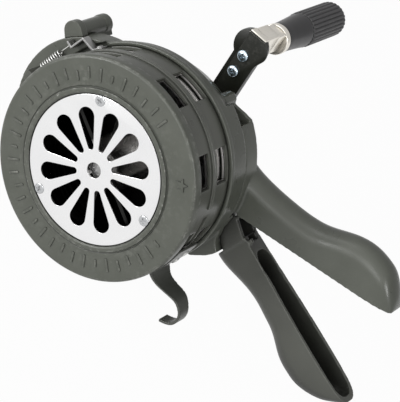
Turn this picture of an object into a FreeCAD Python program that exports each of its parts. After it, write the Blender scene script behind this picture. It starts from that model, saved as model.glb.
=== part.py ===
import FreeCAD, Part
import math
import os

Vector = FreeCAD.Vector

# Hand crank siren. Millimetres. The siren axis runs along +Y from the front ring to the crank,
# +Z is up and +X points along the grips. A clock angle is counted from +Z towards +X, as seen
# from the front. The origin is the centre of the front ring's lip.

# ---- driving dimensions ----------------------------------------------------------------------
rest_roll = 3.9           # turns the whole siren until ring and lower grip lie on one surface
case_radius = 75.0        # outside of the front ring and of the housing bead
ring_depth = 9.0          # front ring, from the lip plane to its back edge
lip_height = 1.2          # lip above the ring's face
plate_thickness = 3.2     # front plate of the ring
seat_depth = 0.8          # grille seat below the ring's face
air_hole_radius = 43.0    # opening behind the grille
grille_radius = 50.0
grille_thickness = 1.2
lip_flat_inner = 52.0
lip_flat_width = 2.0
slot_count = 12           # teardrop slots of the grille
slot_phase = -6.2
slot_outer_reach = 41.5
slot_outer_radius = 5.9
slot_inner_reach = 13.5
slot_inner_radius = 2.1
centre_hole_radius = 5.2
grille_screw_circle = 46.5
grille_screw_phase = -21.2
grille_screw_head = 3.5
grille_screw_dome = 0.75
grille_screw_radius = 1.5
mark_height = 0.7         # raised marks of the ring
mark_inner = 58.5
mark_outer = 67.5
mark_first = 103.8
mark_last = 385.8
mark_count = 36
mark_width = 1.6
mark_long_step = 2.5      # every third bar ends this much further in
mark_short_step = 1.5     # every second bar starts this much further out
star_clock = 62.3
star_circle = 65.0
star_size = 4.6
star_inner = 0.42         # inner corners, share of the outer reach

drum_length = 46.1        # from the front plate to its seat in the housing bead
drum_wall = 2.6
ring_wall = 3.0           # radial wall of the ring's rim and of the housing bead
rib_height = 1.2
rib_width = 5.0
window_count = 8
window_span = 18.6        # degrees
window_phase = 13.8
window_front_margin = 2.5
window_rear_margin = 1.0
middle_band = 8.5         # solid band between the two rows of windows
drum_seat = 2.5           # drum in the housing bead
drum_screw_clocks = (180.0, 240.0, 300.0)
seat_play = 0.05          # radial, drum in the ring and in the bead
drum_screw_radius = 1.4
ring_screw_y = 6.5        # radial screws of the ring
bead_screw_depth = 1.8    # radial screws of the bead, behind its front

shutter_gap = 0.3         # shutter ring in the drum
shutter_wall = 1.4
rotor_gap = 1.0           # rotor in the shutter ring
shutter_travel = 20.0     # degrees, closes the windows
lug_clock = 113.0
lug_span = 12.0
lug_width = 4.5
slot_margin = 1.5         # degrees beyond the travel
arm_clock = -83.1
arm_span = 5.0
arm_reach = 15.0          # spring arm beyond the drum
arm_thickness = 3.0
hook_radius = 0.7         # wire of the return spring
hook_hole = 0.8
coil_radius = 2.9
coil_gap = 0.25           # coil to the arm
coil_length = 21.0
anchor_sheet = 1.5        # bent strip on the drum that holds the fixed end of the spring
anchor_width = 7.0
anchor_foot = (-47.5, -41.2)
anchor_line = ((0.75, -46.2), (0.9, -47.2), (9.9, -50.4), (8.0, -58.6), (12.2, -58.9))    # height, clock
anchor_hook = (10.2, -58.8)    # height above the drum, and clock
anchor_rivet_radius = 1.2
anchor_rivet_head = 2.2
anchor_rivet_clock = -43.9

trigger_width = 24.0
trigger_thickness = 1.8
trigger_offset = -5.25    # middle of the trigger from the middle band
trigger_gap = 0.3
saddle_clocks = (103.0, 125.0)
rivet_radius = 1.6
rivet_head = 3.0
rivet_head_height = 1.2
rivet_offset = 3.5        # degrees each side of the lug's middle

bead_length = 4.0
housing_length = 22.0     # bead front to seam
cover_depth = 15.5
wall_thickness = 2.5      # front wall of the housing
cover_wall = 3.0          # back wall of the cover
band_inset = 2.0          # band and cover below the bead
case_wall = 3.5
shoulder_y = 60.0         # the round part of the case tapers behind this station
shoulder_slope = 0.50     # radius lost per millimetre
flank_clocks = (31.0, 206.0)  # straight flank at the grips
foot_clocks = (172.0, 196.0)  # foot under the case, as low as the bead
lobe_overhang = 20.5      # side lobe beyond the case radius
lobe_forward = 4.0        # lobe front before the bead front
post_radius = 5.0
post_hole = 2.15
post_inset = 9.0          # post axis below the outer wall
cover_screw_radius = 2.0
cover_screw_head = 3.6
cover_screw_length = 24.0
cover_screw_height = 2.2
pocket_clocks = (31.0, 43.6)    # pocket in the flank beside the upper screw post
pocket_depth = 9.5
lining_depth = 3.0
lining_span = 2.0         # degrees beyond the pocket

# gear train
gear_module = 1.0
pressure_angle = 25.0
pinion_teeth = 14
layshaft_teeth = 62
crank_teeth = 80
gear_width = 6.0
tooth_play = 0.08         # taken off each tooth at the pitch circle
gear_gap = 3.0            # between the two gear planes
gear_room = 3.5           # rear gears to the cover's back wall

# shafts and bearings
shaft_radius = 4.0
crank_shaft_radius = 6.0
running_play = 0.05       # radial
bearing_outer = 11.0
bearing_width = 7.0
bearing_wall = 3.0
race_inner = 6.1
race_outer = 9.3
ball_circle = 7.7
ball_radius = 1.55
ball_count = 7
bush_wall = 2.0
boss_wall = 3.0           # boss round the bushes of the layshaft
bush_length = 10.0
crank_boss_length = 15.5
crank_boss_wall = 3.0
bush_flange = 1.5

# rotor
rotor_hub_radius = 10.0
rotor_plate = 4.5
rotor_ring_depth = 16.0
vane_count = 8
rotor_front_gap = 3.5     # behind the ring
# ring plates, from the rotor's front, and widths
plate_rings = ((0.0, 2.0), (5.0, 2.5), (13.5, 2.2), (18.0, 1.6))
last_ring = (5.5, 2.5)    # before the rear plate, and width
rotor_nut_flats = 13.0
rotor_nut_height = 4.5
rotor_washer_height = 1.5
rotor_washer_radius = 8.5
vane_thickness = 2.5
land_span = 20.0
land_depth = 3.0

# grips
hinge_inset = 2.85        # hinge pin below the case radius
hinge_clock = 94.6
grip_back = 2.0           # middle of the grips behind the cover
hinge_pin_radius = 2.0
hinge_eye_radius = 4.5
upper_clock = 86.3
lower_clock = 115.5
lower_rim = 4.3           # rim of the lower grip below the hinge line
grip_wall = 2.5
cheek_width = 3.4
hinge_play = 0.4

# crank
arm_length = 86.0
arm_angle = 5.6           # clock of the arm
arm_left = 8.4            # edges of the bar, left and right of its axis
arm_right = 10.4
arm_plate = 4.0
arm_gap = 4.0             # boss flange to arm
arm_end_radius = 12.6
hub_end_radius = 13.0
crank_nut_height = 3.6
crank_nut_flats = 16.0
crank_washer_radius = 9.5
arm_bore = 5.0
bracket_sheet = 1.5       # bent sheet on the arm's front, over its end and behind it
bracket_left = -5.3       # outside of the bracket's two cheeks
bracket_right = 7.6
bracket_top = 11.4        # above the middle of the arm's end
bracket_low = 11.2        # cheeks, below the middle
bracket_reach = 15.5      # cheeks, behind the arm
crank_screw_radii = (65.4, 78.8)
crank_screw_radius = 2.0
crank_screw_head = 3.9
fold_pin_depth = 10.0     # behind the arm's rear face
fold_pin_drop = 7.6       # below the handle axis
fold_pin_radius = 2.0
knuckle_play = 0.3        # each side, between the cheeks
knuckle_height = 10.0
knuckle_head_low = 5.0    # head behind the cheeks, below the middle
knuckle_head_top = 9.4
knuckle_head_gap = 0.9    # to the cheeks
knuckle_lug = 4.0
spindle_radius = 3.0
collar_radius = 10.6
collar_length = 5.0
collar_y = 27.5           # behind the arm's rear face
core_length = 32.5
core_radius_front = 10.2
core_radius_rear = 11.8
sleeve_length = 50.0
sleeve_radius = 12.4
sleeve_groove = 0.7
sleeve_groove_count = 26
sleeve_bore = 9.0
sleeve_end_round = 4.2
end_recess = 9.0          # screw pocket in the end of the sleeve

# lug on top of the lobe
top_radius = 6.3          # barrel
top_lift = 2.5            # barrel axis above the lobe wall
top_clock = -37.6         # about the lobe axis
top_length = 38.2
top_knuckle = 6.5         # length of the front knuckle and of the rear ring
top_knuckle_radius = 6.9
top_rise = 1.4            # front knuckle above the barrel axis
top_foot_half = 7.6       # half width of the front knuckle at the wall
top_foot_depth = 4.5
top_web_half = 5.2           # web between barrel and wall
top_web_depth = 8.0
top_play = 0.3            # to the rear cover
top_peg_radius = 2.0
top_peg_tail = 0.8        # peg beyond the inner wall
top_peg_stations = (9.0, 20.0)

# ---- derived stations ------------------------------------------------------------------------
face_y = lip_height
plate_back_y = face_y + plate_thickness
drum_front_y = plate_back_y
bead_y = drum_front_y + drum_length - drum_seat
drum_back_y = drum_front_y + drum_length
bead_back_y = bead_y + bead_length
wall_front_y = drum_back_y
wall_back_y = drum_back_y + wall_thickness
seam_y = bead_y + housing_length
cover_back_y = seam_y + cover_depth
cover_inner_y = cover_back_y - cover_wall
lobe_front_y = bead_y - lobe_forward

drum_radius = case_radius - ring_wall
drum_inner = drum_radius - drum_wall
shutter_outer = drum_inner - shutter_gap
shutter_inner = shutter_outer - shutter_wall
rotor_radius = shutter_inner - rotor_gap
coil_start = (drum_radius + arm_reach) * math.sin(math.radians(arm_span / 2)) + coil_gap
band_radius = case_radius - band_inset

window_first_y = ring_depth + window_front_margin
window_width = (bead_y - window_rear_margin - middle_band - window_first_y) / 2
window_second_y = window_first_y + window_width + middle_band
rib_y = window_first_y + window_width + (middle_band - rib_width) / 2 + 0.25
middle_y = window_first_y + window_width + middle_band / 2

first_distance = gear_module * (crank_teeth + pinion_teeth) / 2
second_distance = gear_module * (layshaft_teeth + pinion_teeth) / 2
layshaft_x = -second_distance
crank_axis_x = layshaft_x + first_distance
lobe_radius = case_radius + lobe_overhang + layshaft_x
rear_gear_y = cover_inner_y - gear_room - gear_width
front_gear_y = rear_gear_y - gear_gap - gear_width

grip_y = cover_back_y + grip_back
hinge_radius = case_radius - hinge_inset
hinge_x = hinge_radius * math.sin(math.radians(hinge_clock))
hinge_z = hinge_radius * math.cos(math.radians(hinge_clock))

rotor_front_y = ring_depth + rotor_front_gap
boss_front_y = bead_y - 1.0
bearing_front_y = boss_front_y + 0.5
bearing_rear_y = bearing_front_y + bearing_width + 0.5
boss_back_y = bearing_rear_y + bearing_width

crank_boss_back_y = cover_back_y + crank_boss_length
arm_front_y = crank_boss_back_y + arm_gap
arm_back_y = arm_front_y + arm_plate
pin_y = arm_back_y + fold_pin_depth
pin_reach = arm_length - fold_pin_drop
handle_x = (bracket_left + bracket_right) / 2
handle_y = arm_back_y + collar_y
core_y = handle_y + collar_length + 0.3
sleeve_y = core_y + core_length
handle_end_y = sleeve_y + sleeve_length


# ---- helpers ---------------------------------------------------------------------------------
def polar(radius, clock, y=0.0, x0=0.0, z0=0.0):
    angle = math.radians(clock)
    return Vector(x0 + radius * math.sin(angle), y, z0 + radius * math.cos(angle))


def disc(radius, y0, y1, x=0.0, z=0.0):
    return Part.makeCylinder(radius, y1 - y0, Vector(x, y0, z), Vector(0, 1, 0))


def tube(outer, inner, y0, y1, x=0.0, z=0.0):
    return disc(outer, y0, y1, x, z).cut(disc(inner, y0 - 1, y1 + 1, x, z))


def sector(outer, inner, clock0, clock1, y0, y1):
    middle = (clock0 + clock1) / 2
    edges = [
        Part.Arc(polar(outer, clock0, y0), polar(outer, middle, y0), polar(outer, clock1, y0)).toShape(),
        Part.makeLine(polar(outer, clock1, y0), polar(inner, clock1, y0)),
        Part.Arc(polar(inner, clock1, y0), polar(inner, middle, y0), polar(inner, clock0, y0)).toShape(),
        Part.makeLine(polar(inner, clock0, y0), polar(outer, clock0, y0)),
    ]
    return Part.Face(Part.Wire(edges)).extrude(Vector(0, y1 - y0, 0))


def prism(points, y0, y1):
    corners = [Vector(x, y0, z) for x, z in points]
    return Part.Face(Part.makePolygon(corners + corners[:1])).extrude(Vector(0, y1 - y0, 0))


def turned(profile):
    corners = [Vector(radius, y, 0) for radius, y in profile]
    face = Part.Face(Part.makePolygon(corners + corners[:1]))
    return face.revolve(Vector(0, 0, 0), Vector(0, 1, 0), 360)


def move(shape, x=0.0, y=0.0, z=0.0):
    copy = shape.copy()
    copy.translate(Vector(x, y, z))
    return copy


def spin(shape, clock, x=0.0, z=0.0):
    copy = shape.copy()
    copy.rotate(Vector(x, 0, z), Vector(0, 1, 0), clock)
    return copy


def hexagon(flats, y0, y1, x=0.0, z=0.0):
    corner = flats / 2 / math.cos(math.pi / 6)
    points = []
    for k in range(6):
        p = polar(corner, 60 * k, 0, x, z)
        points.append((p.x, p.z))
    return prism(points, y0, y1)


def join(shapes):
    result = shapes[0]
    if len(shapes) > 1:
        result = shapes[0].multiFuse(shapes[1:])
    return result.removeSplitter()


def merge(shapes):
    # one by one, and without refining, for bodies with cones and lofts
    result = shapes[0]
    for shape in shapes[1:]:
        result = result.fuse(shape)
    return result


def group(shapes):
    return Part.makeCompound(shapes)


def save(name, shape):
    spin(shape, -rest_roll).exportStep("parts/%s.step" % name)


# ---- front ring, grille, drum ----------------------------------------------------------------
def mark_bars():
    bars = []
    step = (mark_last - mark_first) / (mark_count - 1)
    for k in range(mark_count):
        outer = mark_outer if k % 3 else mark_outer - mark_long_step
        inner = mark_inner if k % 2 else mark_inner + mark_short_step
        base = Vector(-mark_width / 2, face_y - mark_height, inner)
        bar = Part.makeBox(mark_width, mark_height + 0.3, outer - inner, base)
        bars.append(spin(bar, mark_first + k * step))
    return bars


def star():
    centre = polar(star_circle, star_clock)
    points = []
    for k in range(10):
        reach = star_size if k % 2 == 0 else star_size * star_inner
        p = polar(reach, star_clock + 36 * k, 0, centre.x, centre.z)
        points.append((p.x, p.z))
    return prism(points, face_y - mark_height, face_y + 0.3)


def front_ring():
    seat_y = face_y + seat_depth
    round_over = 3.0
    profile = [
        (air_hole_radius, seat_y),
        (grille_radius + 0.3, seat_y),
        (grille_radius + 0.3, face_y - 0.2),
        (lip_flat_inner, 0.0),
        (lip_flat_inner + lip_flat_width, 0.0),
        (lip_flat_inner + lip_flat_width + 1.0, face_y),
        (case_radius - round_over, face_y),
        (case_radius - round_over * 0.38, face_y + round_over * 0.29),
        (case_radius - round_over * 0.08, face_y + round_over * 0.7),
        (case_radius, face_y + round_over * 1.2),
        (case_radius, ring_depth - 0.8),
        (case_radius - 0.8, ring_depth),
        (drum_radius + seat_play, ring_depth),
        (drum_radius + seat_play, plate_back_y),
        (air_hole_radius, plate_back_y),
    ]
    body = join([turned(profile)] + mark_bars() + [star()])
    for k in range(3):
        p = polar(grille_screw_circle, grille_screw_phase + 120 * k)
        body = body.cut(disc(grille_screw_radius, 0, plate_back_y + 1, p.x, p.z))
    for clock in drum_screw_clocks:
        body = body.cut(radial_cylinder(drum_screw_radius, drum_radius - 1, case_radius + 1, clock,
                                        ring_screw_y))
    return body


def radial_cylinder(radius, start, end, clock, y):
    base = polar(start, clock, y)
    direction = polar(1, clock)
    return Part.makeCylinder(radius, end - start, base, direction)


def teardrop(clock):
    big = slot_outer_reach - slot_outer_radius
    small = slot_inner_reach + slot_inner_radius
    sine = (slot_outer_radius - slot_inner_radius) / (big - small)
    tilt = math.asin(sine)
    cosine = math.cos(tilt)
    y = 0.0

    def point(x, z):
        return Vector(x, y, z)

    a = point(slot_outer_radius * cosine, big - slot_outer_radius * sine)
    b = point(slot_inner_radius * cosine, small - slot_inner_radius * sine)
    c = point(-b.x, b.z)
    d = point(-a.x, a.z)
    edges = [
        Part.makeLine(a, b),
        Part.Arc(b, point(0, slot_inner_reach), c).toShape(),
        Part.makeLine(c, d),
        Part.Arc(d, point(0, slot_outer_reach), a).toShape(),
    ]
    slot = Part.Face(Part.Wire(edges)).extrude(Vector(0, plate_back_y, 0))
    return spin(slot, clock)


def grille():
    y0 = face_y + seat_depth - grille_thickness
    plate = disc(grille_radius, y0, y0 + grille_thickness)
    plate = plate.cut(disc(centre_hole_radius, 0, plate_back_y))
    plate = plate.cut(group([teardrop(slot_phase + 360 / slot_count * k) for k in range(slot_count)]))
    for k in range(3):
        p = polar(grille_screw_circle, grille_screw_phase + 120 * k)
        plate = plate.cut(disc(grille_screw_radius, 0, plate_back_y, p.x, p.z))
    return plate


def grille_screws():
    screws = []
    top = face_y + seat_depth - grille_thickness
    dome = grille_screw_dome
    sphere_radius = (grille_screw_head ** 2 + dome ** 2) / (2 * dome)
    for k in range(3):
        p = polar(grille_screw_circle, grille_screw_phase + 120 * k)
        ball = Part.makeSphere(sphere_radius, Vector(p.x, top - dome + sphere_radius, p.z))
        head = ball.common(disc(grille_screw_head + 1, top - dome - 1, top, p.x, p.z))
        shank = disc(grille_screw_radius, top, plate_back_y + 2.0, p.x, p.z)
        screws.append(join([head, shank]))
    return group(screws)


def windows(outer, inner, first_y, width):
    cuts = []
    for k in range(window_count):
        clock = window_phase + 360 / window_count * k
        cuts.append(sector(outer, inner, clock - window_span / 2, clock + window_span / 2, first_y,
                           first_y + width))
    return cuts


def stator_drum():
    body = tube(drum_radius, drum_inner, drum_front_y, drum_back_y)
    rib = tube(drum_radius + rib_height, drum_radius - 0.5, rib_y, rib_y + rib_width)
    saddle_room = sector(
        drum_radius + rib_height + 1, drum_radius, saddle_clocks[0] - shutter_travel - slot_margin * 2,
        saddle_clocks[1] + slot_margin * 2, rib_y - 1, rib_y + rib_width + 1)
    body = join([body, rib.cut(saddle_room)])
    cuts = windows(drum_radius + 5, drum_inner - 5, window_first_y, window_width)
    cuts += windows(drum_radius + 5, drum_inner - 5, window_second_y, window_width)
    half = lug_width / 2 + 0.6
    cuts.append(sector(
        drum_radius + 5, drum_inner - 5, lug_clock - lug_span / 2 - shutter_travel - slot_margin,
        lug_clock + lug_span / 2 + slot_margin, middle_y - half, middle_y + half))
    half = arm_thickness / 2 + 0.6
    cuts.append(sector(
        drum_radius + 5, drum_inner - 5, arm_clock - arm_span / 2 - shutter_travel - slot_margin,
        arm_clock + arm_span / 2 + slot_margin, middle_y - half, middle_y + half))
    cuts.append(radial_cylinder(anchor_rivet_radius, drum_inner - 1, case_radius, anchor_rivet_clock,
                                spring_y()))
    for clock in drum_screw_clocks:
        cuts.append(radial_cylinder(drum_screw_radius, drum_inner - 1, case_radius + 1, clock,
                                    ring_screw_y))
        cuts.append(radial_cylinder(drum_screw_radius, drum_inner - 1, case_radius + 1, clock,
                                    bead_y + bead_screw_depth))
    return body.cut(group(cuts))


def drum_screws():
    screws = []
    for clock in drum_screw_clocks:
        for y in (ring_screw_y, bead_y + bead_screw_depth):
            screws.append(radial_cylinder(drum_screw_radius, drum_inner + 0.1, case_radius - 0.1, clock, y))
    return group(screws)


# ---- shutter ring, trigger, spring -----------------------------------------------------------
def shutter_ring():
    front = drum_front_y + 0.6
    body = tube(shutter_outer, shutter_inner, front, bead_y - 0.6)
    cuts = windows(shutter_outer + 5, shutter_inner - 5, window_first_y, window_width)
    cuts += windows(shutter_outer + 5, shutter_inner - 5, window_second_y, window_width)
    body = body.cut(group(cuts))
    lug = sector(
        drum_radius + rib_height + trigger_gap, shutter_inner + 0.2, lug_clock - lug_span / 2,
        lug_clock + lug_span / 2, middle_y - lug_width / 2, middle_y + lug_width / 2)
    body = join([body, lug])
    for offset in (-rivet_offset, rivet_offset):
        start = drum_radius - 1
        hole = radial_cylinder(rivet_radius, start, case_radius + 2, lug_clock + offset, middle_y)
        body = body.cut(hole)
    return body


def trigger_centre_line():
    # bent strip: out of the saddle, forward along the grips and down into the finger curl
    root = polar(drum_radius + rib_height + trigger_gap + trigger_thickness / 2, saddle_clocks[1] - 0.8)
    bends = [
        (11.2, -7.4), (18.6, -8.4), (23.4, -9.8), (26.6, -12.7), (28.9, -16.6),
        (29.2, -21.4), (27.2, -25.6), (22.9, -28.2), (18.3, -29.4),
    ]
    points = [Vector(root.x, 0, root.z)]
    for x, z in bends:
        points.append(Vector(root.x + x, 0, root.z + z))
    return points


def trigger():
    y_middle = middle_y + trigger_offset
    half = trigger_width / 2
    inner = drum_radius + rib_height + trigger_gap
    saddle = sector(inner + trigger_thickness, inner, saddle_clocks[0], saddle_clocks[1],
                    y_middle - half, y_middle + half)
    curve = Part.BSplineCurve()
    curve.interpolate(trigger_centre_line())
    steps = 40
    sides = [[], []]
    for k in range(steps + 1):
        t = curve.FirstParameter + (curve.LastParameter - curve.FirstParameter) * k / steps
        along = curve.tangent(t)[0]
        across = Vector(along.z, 0, -along.x)
        for side, sign in zip(sides, (1, -1)):
            side.append(curve.value(t) + across * (sign * trigger_thickness / 2))
    edges = []
    for side in sides:
        spline = Part.BSplineCurve()
        spline.interpolate(side)
        edges.append(spline.toShape())
    edges.insert(1, Part.makeLine(sides[0][-1], sides[1][-1]))
    edges.append(Part.makeLine(sides[1][0], sides[0][0]))
    strip = Part.Face(Part.Wire(Part.__sortEdges__(edges)))
    strip.translate(Vector(0, y_middle - half, 0))
    strip = strip.extrude(Vector(0, trigger_width, 0))
    root = trigger_centre_line()[0]
    widths = [
        (2, 12.0), (-2.2, 11.5), (-5, 10), (-7.4, 8.5), (-8.6, 7.5), (-10, 6.7), (-13, 6.0),
        (-17, 5.5), (-32, 5.2),
    ]
    corners = [Vector(root.x - 30, y_middle + w, root.z + z) for z, w in widths]
    corners += [Vector(root.x - 30, y_middle - w, root.z + z) for z, w in reversed(widths)]
    outline = Part.Face(Part.makePolygon(corners + corners[:1])).extrude(Vector(80, 0, 0))
    body = join([saddle, strip.common(outline)])
    for offset in (-rivet_offset, rivet_offset):
        body = body.cut(radial_cylinder(rivet_radius, inner - 2, inner + 5, lug_clock + offset, middle_y))
    return body


def trigger_rivets():
    outer = drum_radius + rib_height + trigger_gap + trigger_thickness
    rivets = []
    for offset in (-rivet_offset, rivet_offset):
        shank = radial_cylinder(rivet_radius, drum_radius - 1, outer, lug_clock + offset, middle_y)
        head = radial_cylinder(rivet_head, outer, outer + rivet_head_height, lug_clock + offset, middle_y)
        rivets.append(join([shank, head]))
    return group(rivets)


def spring_arm():
    reach = drum_radius + arm_reach
    inner = shutter_outer - 0.2
    bar = sector(reach, inner, arm_clock - arm_span / 2, arm_clock + arm_span / 2,
                 middle_y - arm_thickness / 2, middle_y + arm_thickness / 2)
    bar = bar.cut(disc(shutter_outer, middle_y - 5, middle_y + 5))
    tail = sector(reach, reach - 3.0, arm_clock - arm_span / 2, arm_clock + arm_span / 2,
                  middle_y - arm_thickness / 2, lobe_front_y - 1.0)
    body = join([bar, tail])
    return body.cut(spring_line(hook_hole))


def spring_y():
    return lobe_front_y - 3.6


def spring_ends():
    start = polar(drum_radius + arm_reach - 1.5, arm_clock, spring_y())
    end = polar(drum_radius + anchor_hook[0], anchor_hook[1], spring_y())
    return start, end


def spring_line(radius):
    start, end = spring_ends()
    along = end - start
    length = along.Length
    along.normalize()
    return Part.makeCylinder(radius, length + 20, start - along * 10, along)


def spring_anchor():
    # foot on the drum, leg, and a strip with a small flange that the spring is hooked into
    y0 = spring_y() - anchor_width / 2
    y1 = y0 + anchor_width
    foot = sector(drum_radius + anchor_sheet, drum_radius, anchor_foot[0], anchor_foot[1], y0, y1)
    line = [polar(drum_radius + height, clock) for height, clock in anchor_line]
    shapes = [foot]
    for first, last in zip(line, line[1:]):
        along = (last - first).normalize()
        across = Vector(along.z, 0, -along.x) * (anchor_sheet / 2)
        corners = [first + across, last + across, last - across, first - across]
        shapes.append(prism([(p.x, p.z) for p in corners], y0, y1))
        shapes.append(disc(anchor_sheet / 2, y0, y1, last.x, last.z))
    middle = spring_y()
    shank = radial_cylinder(anchor_rivet_radius, drum_inner + 0.1, drum_radius + 1, anchor_rivet_clock,
                            middle)
    top = drum_radius + anchor_sheet
    head = radial_cylinder(anchor_rivet_head, top - 0.2, top + 0.9, anchor_rivet_clock, middle)
    body = join(shapes).cut(disc(drum_radius, y0 - 1, y1 + 1))
    return join([body, shank, head]).cut(spring_line(hook_hole))


def return_spring():
    # closed outer shape of the coil with its two straight hooks
    start, end = spring_ends()
    along = end - start
    length = along.Length
    along.normalize()
    coil_end = coil_start + coil_length
    coil = Part.makeCylinder(coil_radius, coil_length, start + along * coil_start, along)
    near_hook = Part.makeCylinder(hook_radius, coil_start + 0.2, start, along)
    far_hook = Part.makeCylinder(hook_radius, length - coil_end + 1.4, start + along * (coil_end - 0.2),
                                 along)
    return join([coil, near_hook, far_hook])


# ---- housing and cover -----------------------------------------------------------------------
def tapered(radius, y0, y1, x):
    # straight to the shoulder, then tapering to the rear
    start = max(y0, shoulder_y)
    first = radius - (start - shoulder_y) * shoulder_slope
    last = radius - (y1 - shoulder_y) * shoulder_slope
    tail = Part.makeCone(first, last, y1 - start, Vector(x, start, 0), Vector(0, 1, 0))
    if start == y0:
        return tail
    return join([disc(radius, y0, start, x), tail])


def case_solid(inset, y0, y1):
    flank = sector(band_radius - inset, 20.0, flank_clocks[0], flank_clocks[1], y0, y1)
    round_part = tapered(band_radius - inset, y0, y1, 0.0)
    lobe = tapered(lobe_radius - inset, y0, y1, layshaft_x)
    return join([round_part, lobe, flank])


def post_places():
    round_reach = band_radius - post_inset
    lobe_reach = lobe_radius - post_inset
    return [
        polar(round_reach, 27.0),
        polar(round_reach, 63.5),
        polar(round_reach, 122.0),
        polar(round_reach, 168.0),
        polar(lobe_reach, -122.0, 0, layshaft_x),
        polar(lobe_reach, -62.0, 0, layshaft_x),
    ]


def top_axis():
    return polar(lobe_radius + top_lift, top_clock, 0, layshaft_x)


def top_pegs():
    axis = top_axis()
    inward = (Vector(layshaft_x, 0, 0) - axis).normalize()
    length = top_lift + case_wall + top_peg_tail
    pegs = []
    for station in top_peg_stations:
        start = axis + Vector(0, lobe_front_y + station, 0)
        pegs.append(Part.makeCylinder(top_peg_radius, length, start, inward))
    return group(pegs)


def housing():
    bead = disc(case_radius, bead_y, bead_back_y)
    foot = sector(case_radius, band_radius - 1, foot_clocks[0], foot_clocks[1], bead_back_y - 1, seam_y)
    lobe = disc(lobe_radius, lobe_front_y, bead_back_y, layshaft_x)
    outside = join([bead, case_solid(0, bead_y, seam_y), lobe, foot])
    cavity = case_solid(case_wall, wall_back_y, seam_y + 1)
    lobe_cavity = disc(lobe_radius - case_wall, lobe_front_y + case_wall, wall_back_y + 0.5, layshaft_x)
    lobe_cavity = lobe_cavity.cut(disc(case_radius + 1.5, 0, seam_y))
    body = outside.cut(join([cavity, lobe_cavity]))
    body = body.cut(disc(drum_radius + seat_play, bead_y - 10, drum_back_y))
    body = body.cut(tube(drum_radius + 4.0, drum_radius - 1, 0, bead_y).common(disc(200, 0, bead_y - 0.01)))
    bosses = [disc(bearing_outer + bearing_wall, boss_front_y, boss_back_y)]
    bosses.append(disc(shaft_radius + bush_wall + boss_wall, wall_front_y, wall_back_y + bush_length,
                       layshaft_x))
    for place in post_places():
        outboard = math.hypot(place.x, place.z) > case_radius
        start = lobe_front_y + 1 if outboard else wall_back_y - 1
        bosses.append(disc(post_radius, start, seam_y, place.x, place.z))
    body = join([body] + bosses)
    body = body.cut(disc(bearing_outer, boss_front_y - 1, boss_back_y + 1))
    body = body.cut(disc(shaft_radius + bush_wall, wall_back_y - 0.5, seam_y, layshaft_x))
    for place in post_places():
        body = body.cut(disc(post_hole, seam_y - 12, seam_y + 1, place.x, place.z))
    for clock in drum_screw_clocks:
        body = body.cut(radial_cylinder(drum_screw_radius, drum_inner, case_radius + 30, clock,
                                        bead_y + bead_screw_depth))
    return body.cut(top_pegs())


def top_lug():
    # barrel on the wall of the case, with a raised knuckle in front and a ring behind
    axis = top_axis()
    front = lobe_front_y
    back = front + top_length
    barrel = disc(top_radius, front, back, axis.x, axis.z)
    ring = disc(top_knuckle_radius, back - top_knuckle, back, axis.x, axis.z)
    cap = disc(top_knuckle_radius, front, front + top_knuckle, 0, top_rise)
    flare = [
        (-top_knuckle_radius, top_rise), (top_knuckle_radius, top_rise),
        (top_foot_half, -top_foot_depth), (-top_foot_half, -top_foot_depth),
    ]
    knuckle = join([cap, prism(flare, front, front + top_knuckle)])
    knuckle = move(spin(knuckle, top_clock), axis.x, 0, axis.z)
    web = prism([
        (-top_web_half, 0), (top_web_half, 0),
        (top_web_half, -top_web_depth), (-top_web_half, -top_web_depth),
    ], front, back)
    web = move(spin(web, top_clock), axis.x, 0, axis.z)
    body = join([barrel, ring, knuckle, web])
    lobe = disc(lobe_radius, lobe_front_y - 1, bead_back_y, layshaft_x)
    bead = disc(case_radius, bead_y, bead_back_y)
    body = body.cut(join([lobe, bead, case_solid(0, bead_y, seam_y)]))
    body = body.cut(case_solid(-top_play, seam_y, cover_back_y))
    return join([body, top_pegs()])


def grip_frame(clock, side):
    angle = math.radians(clock)
    along = Vector(math.sin(angle), 0, math.cos(angle))
    back = Vector(-math.cos(angle) * side, 0, math.sin(angle) * side)
    return along, back


def grip_loft(clock, side, stations, rim):
    along, back = grip_frame(clock, side)
    pin = Vector(hinge_x, grip_y, hinge_z)
    wires = []
    for u, depth, half in stations:
        rise = min(half * 0.9, (depth - rim) * 0.7)
        base = pin + along * u

        def place(y, v):
            return base + Vector(0, y, 0) + back * v

        a = place(-half, rim)
        b = place(-half, depth - rise)
        c = place(half, depth - rise)
        d = place(half, rim)
        edges = [
            Part.makeLine(a, b),
            Part.Arc(b, place(0, depth), c).toShape(),
            Part.makeLine(c, d),
            Part.makeLine(d, a),
        ]
        wires.append(Part.Wire(edges))
    return Part.makeLoft(wires, True, False)


def inner_stations(stations, start, end):
    result = []
    for u, depth, half in stations:
        if start <= u <= end:
            result.append((u, depth - grip_wall, half - grip_wall))
    return result


upper_stations = [
    (-8, 33.5, 12.0), (10, 27.5, 12.0), (28, 24.5, 12.0), (46, 23.1, 12.0), (64, 25.6, 12.0),
    (80, 30.2, 12.0), (90, 31.1, 12.0), (104, 28.0, 12.0), (112, 23.7, 11.5), (118, 16.8, 10.5),
    (122, 10.5, 9.0), (124.6, 3.0, 7.0),
]
lower_stations = [
    (17, 33.4, 9.0), (33, 31.0, 9.6), (49, 26.8, 10.4), (64, 26.2, 11.2), (77, 27.2, 11.8),
    (89, 30.6, 12.2), (98, 33.4, 12.4), (108, 34.0, 12.5), (118, 32.8, 12.4), (128, 28.0, 12.0),
    (135, 22.4, 11.4), (139.5, 16.8, 10.3), (142.8, 12.0, 8.4), (145.0, 8.6, 5.8), (146.0, 7.0, 3.4),
]
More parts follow.
